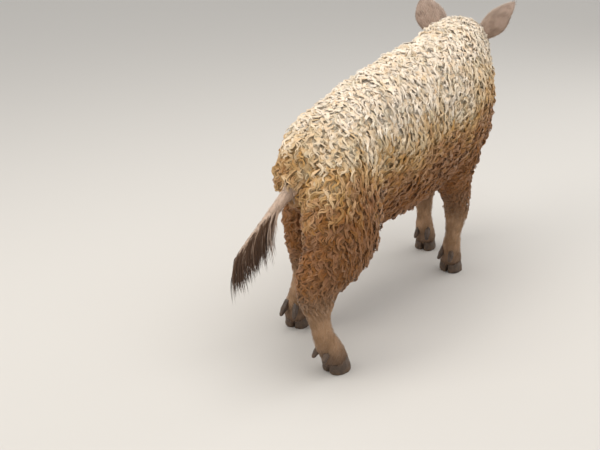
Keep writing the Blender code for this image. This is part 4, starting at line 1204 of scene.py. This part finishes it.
def coat_material():
    """The markings, with each lock a little lighter or darker, fine hairs along it and a warm painted shade
    at its root.
    """
    nodes = Nodes("coat")
    tint = nodes.attribute("tint")
    bright = nodes.span(tint, -1.0, 1.0, 0.90, 1.08)
    along = nodes.attribute("along")
    hairs = nodes.add("ShaderNodeCombineXYZ", {0: nodes.times(nodes.attribute("around"), 7.0),
                                               1: nodes.times(along, 1.6), 2: nodes.times(tint, 40.0)})
    hairs = nodes.noise(hairs, 1.0, 3.0, 0.6)
    # Painted shade: each strand is darker and warmer towards its root, less so in short fur
    root_shade = nodes.span(along, 0.0, 0.70, nodes.span(nodes.attribute("short"), 0.0, 1.0, 1.0, 0.3), 0.0)
    colour = nodes.mix(root_shade, markings(nodes), ROOT_SHADE, "MULTIPLY")
    value = nodes.times(nodes.times(bright, 0.96), nodes.span(hairs, 0.30, 0.70, 0.90, 1.07))
    colour = nodes.shade(colour, value, nodes.span(tint, -1.1, 1.1, 1.10, 0.90))
    return nodes.finish(base_color=colour, roughness=0.62, sheen_weight=0.25, sheen_roughness=0.45,
                        specular_ior_level=0.30, normal=nodes.bump(hairs, 0.0010, 0.6))


def skin_material():
    """Skin with pores, wrinkles and short fur, matted wool under the deep coat with painted shade in its
    hollows, and a dark wet disc.
    """
    nodes = Nodes("skin")
    where = nodes.attribute("root", "Vector")
    colour = markings(nodes)
    wool = nodes.noise(where, 150.0, 4.0, 0.6, distortion=3.5)
    deep = nodes.attribute("deep")
    lie = nodes.attribute("lie", "Vector")
    along = nodes.add("ShaderNodeVectorMath", {0: where, 1: lie}, 1, operation="DOT_PRODUCT")
    back = nodes.add("ShaderNodeVectorMath", {0: lie, "Scale": along}, operation="SCALE")
    drawn_out = nodes.add("ShaderNodeVectorMath", {0: back, 1: (-0.90, -0.90, -0.90), 2: where},
                          operation="MULTIPLY_ADD")
    fur = nodes.noise(drawn_out, 520.0, 4.0, 0.65)
    bare = nodes.maths("MAXIMUM", nodes.attribute("disc"), nodes.attribute("cup"))
    furry = nodes.maths("SUBTRACT", 1.0, bare)
    # Painted shade: under the deep coat the matted wool is darker in the hollows of its bump and lighter on
    # its clumps
    under = nodes.span(deep, 0.0, 1.0, 0.97, nodes.span(wool, 0.38, 0.62, 0.88, 1.10))
    disc = nodes.mix(nodes.patches(where, 120.0, 3.0, 0.40, 0.62), DISC_DARK, DISC_PINK)
    colour = nodes.mix(nodes.attribute("disc"), colour, disc)
    spots = nodes.patches(where, 260.0, 2.0, 0.55, 0.75, 1.0, 0.84)
    colour = nodes.shade(colour, nodes.times(spots, under))
    streaks = nodes.span(furry, 0.0, 1.0, 1.0, nodes.span(fur, 0.32, 0.68, 0.84, 1.10))
    colour = nodes.shade(colour, streaks)
    pores = nodes.add("ShaderNodeTexVoronoi", {"Vector": where, "Scale": 620.0, "Randomness": 1.0})
    normal = nodes.bump(pores, 0.0006, 0.5)
    normal = nodes.bump(nodes.noise(where, 180.0, 5.0, 0.65), 0.0016, 0.7, normal)
    normal = nodes.bump(nodes.times(wool, deep), 0.008, 0.9, normal)
    normal = nodes.bump(nodes.times(fur, furry), 0.0016, 0.8, normal)
    rough = nodes.patches(where, 90.0, 3.0, 0.3, 0.7, 0.50, 0.72)
    wet = nodes.maths("SUBTRACT", rough, nodes.times(nodes.attribute("disc"), 0.24))
    return nodes.finish(base_color=colour, roughness=wet, normal=normal, specular_ior_level=0.40)


def eye_material():
    """From the back of the ball: pink, a dark rim, the brown iris with its fibres, and the pupil."""
    nodes = Nodes("eye")
    pupil = nodes.attribute("pupil")
    where = nodes.add("ShaderNodeTexCoord", {}, "Object")
    fibres = nodes.noise(where, 900.0, 3.0, 0.7)
    iris = nodes.mix(nodes.span(fibres, 0.35, 0.65), srgb(58, 36, 22), srgb(26, 16, 11))
    colour = nodes.ramp(pupil, [(0.0, srgb(120, 84, 66)), (0.70, srgb(96, 66, 50)),
                                (0.745, srgb(20, 12, 8)), (0.79, srgb(255, 255, 255))])
    iris = nodes.mix(nodes.span(pupil, 0.925, 0.945, 1.0, 0.0), srgb(4, 3, 3), iris)
    colour = nodes.mix(nodes.span(pupil, 0.745, 0.775), colour, iris)
    return nodes.finish(base_color=colour, roughness=0.12, coat_weight=1.0, coat_roughness=0.03,
                        specular_ior_level=0.6)


def horn_material():
    """Dark horn with growth rings, and mud on its lower edge."""
    nodes = Nodes("hoof")
    where = nodes.attribute("root", "Vector")
    height, _ = nodes.height_and_length(where)
    rings = nodes.add("ShaderNodeTexWave", {"Vector": where, "Scale": 62.0, "Distortion": 2.6,
                                            "Detail": 2.0, "Detail Scale": 3.0}, "Fac",
                      bands_direction="Z")
    base = nodes.mix(nodes.patches(where, 70.0, 4.0, 0.35, 0.65), srgb(52, 41, 34), srgb(88, 70, 56))
    base = nodes.mix(nodes.times(rings, 0.16), base, srgb(112, 92, 74))
    muddy = nodes.times(nodes.span(height, 0.004, 0.028, 1.0, 0.2),
                        nodes.patches(where, 48.0, 4.0, 0.36, 0.60, roughness=0.65))
    colour = nodes.mix(muddy, base, srgb(104, 84, 66))
    normal = nodes.bump(rings, 0.0005, 0.35)
    normal = nodes.bump(nodes.noise(where, 160.0, 5.0), 0.0012, 0.6, normal)
    rough = nodes.span(muddy, 0.0, 1.0, 0.42, 0.82)
    return nodes.finish(base_color=colour, roughness=rough, normal=normal, specular_ior_level=0.45)


# Claws

def claw_piece(node, material):
    """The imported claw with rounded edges, ridges round its wall and a worn sole."""
    piece = new_object(f"{node}_horn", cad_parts[node].data.copy())
    remeshed(piece, 0.0016 if node.startswith("hoof") else 0.0010, 4)
    points, normals = vertex_arrays(piece)
    wall = 1 - np.abs(normals[:, 2])
    ridges = np.sin(points[:, 2] * 1150 + 1.6 * slow_noise(points, 0.02, 31))
    height = 0.00018 * ridges * wall + 0.0006 * slow_noise(points, 0.011, 32)
    points = points + normals * height[:, None]
    points[:, 2] = np.maximum(points[:, 2], 0.0)
    set_points(piece, points)
    write_fields(piece.data, {"root": points})
    piece.data.shade_smooth()
    stand_for(piece, material, "hoof", node)


# Floor, light and camera

def aim(thing, at, towards):
    """Puts a light or a camera at a place, and turns it this way."""
    thing.location = at
    thing.rotation_mode = "QUATERNION"
    thing.rotation_quaternion = towards.to_track_quat("-Z", "Y")


def area_light(name, at, size, power, colour=(1, 1, 1)):
    """A square light that shines on the middle of the animal."""
    light = bpy.data.lights.new(name, "AREA")
    light.size = size
    light.energy = power
    light.color = colour
    aim(new_object(name, light), Vector(at), LIGHTS_LOOK_AT - Vector(at))


def set_stage():
    corners = [(x * FLOOR_HALF, y * FLOOR_HALF, 0) for x, y in ((-1, -1), (1, -1), (1, 1), (-1, 1))]
    floor = mesh_object("floor", corners, [(0, 1, 2, 3)])
    floor.data.materials.append(Nodes("floor").finish(base_color=srgb(205, 201, 195), roughness=0.85))
    world = bpy.data.worlds.new("studio")
    world.use_nodes = True
    background = world.node_tree.nodes["Background"].inputs
    background["Color"].default_value = (0.97, 0.97, 0.97, 1.0)
    background["Strength"].default_value = 0.75
    bpy.context.scene.world = world
    area_light("top", (-0.1, -0.3, 3.2), 2.6, 56, (1.0, 0.98, 0.95))
    area_light("key", (-1.9, 1.0, 2.6), 1.4, 25, (1.0, 0.96, 0.90))
    area_light("front", (3.0, -1.2, 1.9), 1.8, 20)
    bpy.context.scene.view_settings.view_transform = "Standard"


def set_camera():
    camera = new_object("camera", bpy.data.cameras.new("camera"))
    camera.data.lens = CAMERA_LENS
    camera.data.sensor_width = CAMERA_SENSOR
    aim(camera, CAMERA_AT + ORIGIN, CAMERA_LOOKS)
    bpy.context.scene.camera = camera


# The whole animal

FLESH = ("torso", "neck", "head", "snout", "ear_left", "ear_right", "tail",
         *(f"{part}_{side}" for part in ("fore_arm", "fore_shank", "hind_thigh", "hind_shank")
           for side in ("left", "right")))


def choose(*things):
    """Selects these objects, and makes the last one active."""
    bpy.ops.object.select_all(action="DESELECT")
    for thing in things:
        thing.select_set(True)
        bpy.context.view_layer.objects.active = thing


def unwrap(thing):
    choose(thing)
    thing.data.uv_layers.new(name=BAKE_MAP)
    bpy.ops.object.mode_set(mode="EDIT")
    bpy.ops.mesh.select_all(action="SELECT")
    bpy.ops.uv.smart_project(angle_limit=1.15, island_margin=0.002)
    bpy.ops.object.mode_set(mode="OBJECT")


def add_parts(thing, parts):
    """Joins loose shells to the skin's mesh, and says which of its points each came with."""
    points, faces = joined([(list(p), list(f)) for p, f in parts.values()])
    extra = facing_out(mesh_object("extra", points, faces))
    counts, start = {}, len(thing.data.vertices)
    for name, (p, _) in parts.items():
        counts[name] = (start, start + len(p))
        start += len(p)
    choose(extra, thing)
    bpy.ops.object.join()
    return counts


def tree_of(thing):
    bpy.context.view_layer.update()
    return BVHTree.FromObject(thing, bpy.context.evaluated_depsgraph_get())


def whole_skin():
    """The skin with its ears, disc and lids, its eyes' frames, and the points of each joined part."""
    thing = blended_skin()
    sculpt_face(thing)
    sculpt_legs(thing)
    tree = tree_of(thing)
    eyes = eye_frames(tree)
    parts = {f"lids_{word}": lids_mesh(eye, tree) for word, eye in eyes.items()}
    parts["ear_left"], parts["ear_right"] = ear_mesh(1), ear_mesh(-1)
    parts["disc"] = snout_mesh()
    clear_sockets(thing, eyes)
    points, normals = vertex_arrays(thing)
    set_points(thing, points + normals * wool_height(points)[:, None])
    tree = tree_of(thing)
    counts = add_parts(thing, parts)
    thing.data.shade_smooth()
    return thing, tree, eyes, counts


def colour_skin(thing, eyes, counts):
    """Stores on the skin what its material reads: each joined part has markings of its own."""
    points, normals = vertex_arrays(thing)
    fields = coloured(points, normals, eyes)
    fields["deep"] = blend_between(coat_depth(points), 0.006, 0.016)
    fields["lie"] = coat_lie(points, normals)
    for name in ("ear", "cup", "disc"):
        fields[name] = np.zeros(len(points))
    for name, (first, last) in counts.items():
        fields["deep"][first:last] = 0.0
        if name.startswith("lids"):
            fields["face"][first:last] = 1.0
        elif name.startswith("ear"):
            middle = (first + last) // 2
            fields["ear"][first:last] = 1.0
            fields["dark"][first:last] = 0.0
            fields["cup"][first:middle] = 0.95 - 0.40 * np.linspace(0, 1, middle - first)
        else:
            fields["disc"][first:last] = 1.0
    write_fields(thing.data, fields)


def open_share(points, eyes):
    """1 where fur may grow: not on the lids, the disc's root, the line of the mouth or the claws."""
    along, _, up = head_coordinates(points)
    bare = np.zeros(len(points), bool)
    for centre, _, _, _ in eyes.values():
        bare |= away_from(points, centre) < 0.021
    high = points[:, 2] > HEAD_LOW
    line, inside = mouth_line(along)
    bare |= high & (along > 0.266)
    bare |= high & (np.abs(up - line) < 0.004) & (inside > 0.5)
    for _, near, above in at_feet(points):
        bare |= near & (above < 0.002)
    return 1.0 - bare


CURLS = Lock(tries=130000, spacing=0.0105, strands=4, segments=7, width=0.0045, spread=0.0066,
             base=0.007, reach=1.25, bend=1.10, turns=1.25, roll=0.12, lowest=0.47)
FORELOCKS = Lock(tries=12000, spacing=0.0072, strands=3, segments=6, width=0.0038, spread=0.0050,
                 base=0.012, reach=0.95, bend=1.1, turns=1.1, roll=0.12, lowest=0.45)
FUR = Lock(tries=90000, spacing=0.0059, strands=2, segments=4, width=0.0026, spread=0.0034, base=0.009,
           reach=1.1, bend=0.55, turns=0.6, roll=0.05, lowest=0.18, highest=0.50)
CORONET = Lock(tries=6000, spacing=0.0036, strands=2, segments=4, width=0.0026, spread=0.0030,
               base=0.011, reach=0.9, bend=0.35, turns=0.5, roll=0.05, lowest=0.30)
TASSEL = Lock(tries=6000, spacing=0.0044, strands=5, segments=8, width=0.0046, spread=0.0080,
              base=0.062, reach=3.0, bend=0.40, turns=0.9, roll=0.3, lowest=0.40, sag=1.45)
EAR_FUR = Lock(tries=9000, spacing=0.0046, strands=1, segments=4, width=0.0036, spread=0.0, base=0.007,
               reach=1.0, bend=0.5, turns=0.6, roll=0.1, lowest=0.30)
EAR_HAIR = Lock(tries=9000, spacing=0.0060, strands=2, segments=6, width=0.0030, spread=0.0040,
                base=0.020, reach=1.5, bend=0.8, turns=0.8, roll=0.2, lowest=0.50)


def laid(roots, way, depth):
    """New values for roots whose hair all lies one way and has one depth."""
    ways = np.broadcast_to(np.array(way), roots.place.shape)
    return {"lie": tangent(ways, roots.normal), "depth": np.full(len(roots.place), depth)}


def fringed(roots):
    """Deeper hair on the brow, that gets short towards the face."""
    least = 0.0140 - 0.0100 * blend_between(past_head_cut(roots.place), 0.03, 0.13)
    return {"depth": np.maximum(roots.depth, least)}


def down_tail(roots):
    along, _ = on_tail(roots.place)
    ahead = np.array([(tail_line(min(1, t + 0.1)) - tail_line(t - 0.1)).normalized() for t in along])
    return {"lie": tangent(ahead, roots.normal)}


def dress(skin, tree, eyes, counts, material):
    """Curly locks where the coat is deep, short flat fur on the face and legs, and the tail's tassel."""
    random = np.random.RandomState(5)
    points, normals = vertex_arrays(skin)
    number = np.arange(len(points))
    grown = open_share(points, eyes) * (number < min(first for first, _ in counts.values()))
    depth = coat_depth(points)

    def plant(name, lock, share, follow=None, spacing_at=None, changed=None, slot="coat", **marks):
        """Grows one kind of lock where `share` is over 0. `changed` gives new values for its roots."""
        roots = roots_on(skin, lock, random, share, spacing_at)
        if changed:
            roots = roots._replace(**changed(roots))
        grow(name, roots, lock, random, follow, eyes, material, slot, **marks)

    deep = blend_between(depth, 0.0065, 0.0085) * grown
    plant("coat", CURLS, deep, tree, lambda p: CURLS.spacing * strand_scale(coat_depth(p)) ** 0.5)

    ahead = past_head_cut(points)
    brow = blend_between(ahead, 0.02, 0.05) * (1 - blend_between(ahead, 0.095, 0.145))
    brow = brow * (points[:, 2] > 0.35)
    for centre, _, _, _ in eyes.values():
        brow *= away_from(points, centre) > 0.032
    plant("forelocks", FORELOCKS, brow * grown, tree, changed=fringed)

    shallow = (1 - blend_between(depth, 0.0080, 0.0105)) * grown
    plant("fur", FUR, shallow, tree, lambda p: FUR.spacing - 0.0018 * face_share(p))

    edge = np.zeros(len(points))
    for _, near, above in at_feet(points):
        edge[near & (above < 0.010)] = 1.0
    plant("coronet", CORONET, edge * grown, changed=lambda roots: laid(roots, -UP, 0.0030))

    brush = brush_share(points, normals)
    plant("tassel", TASSEL, brush ** 2 * grown, changed=down_tail, slot="tail")

    for word, side in SIDES.items():
        root, tip, _, _ = ear_frame(side)
        way = (tip - root).normalized()
        first, last = counts[f"ear_{word}"]
        whole = (number >= first) & (number < last)
        cup = whole & (number < (first + last) // 2) & (away_from(points, root) < 0.075)
        for name, lock, share in (("fur", EAR_FUR, whole), ("hair", EAR_HAIR, cup)):
            plant(f"ear_{name}_{word}", lock, share * 1.0, slot="ear", ear=0.75, dark=0.0,
                  changed=lambda roots, way=way: laid(roots, way, 0.0036))
    lashes(eyes, random, material)


def main():
    skin, tree, eyes, counts = whole_skin()
    colour_skin(skin, eyes, counts)
    unwrap(skin)
    skin_looks = skin_material()
    dress(skin, tree, eyes, counts, coat_material())
    ball_looks = eye_material()
    for word, eye in eyes.items():
        place(eyeball(f"eyeball_{word}", eye), ball_looks, "eye", f"eye_{word}")
    horn = horn_material()
    for node in sorted(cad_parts):
        if node.startswith(("hoof", "dewclaw")):
            claw_piece(node, horn)
    place(skin, skin_looks, "face", *FLESH)
    set_stage()
    set_camera()


main()
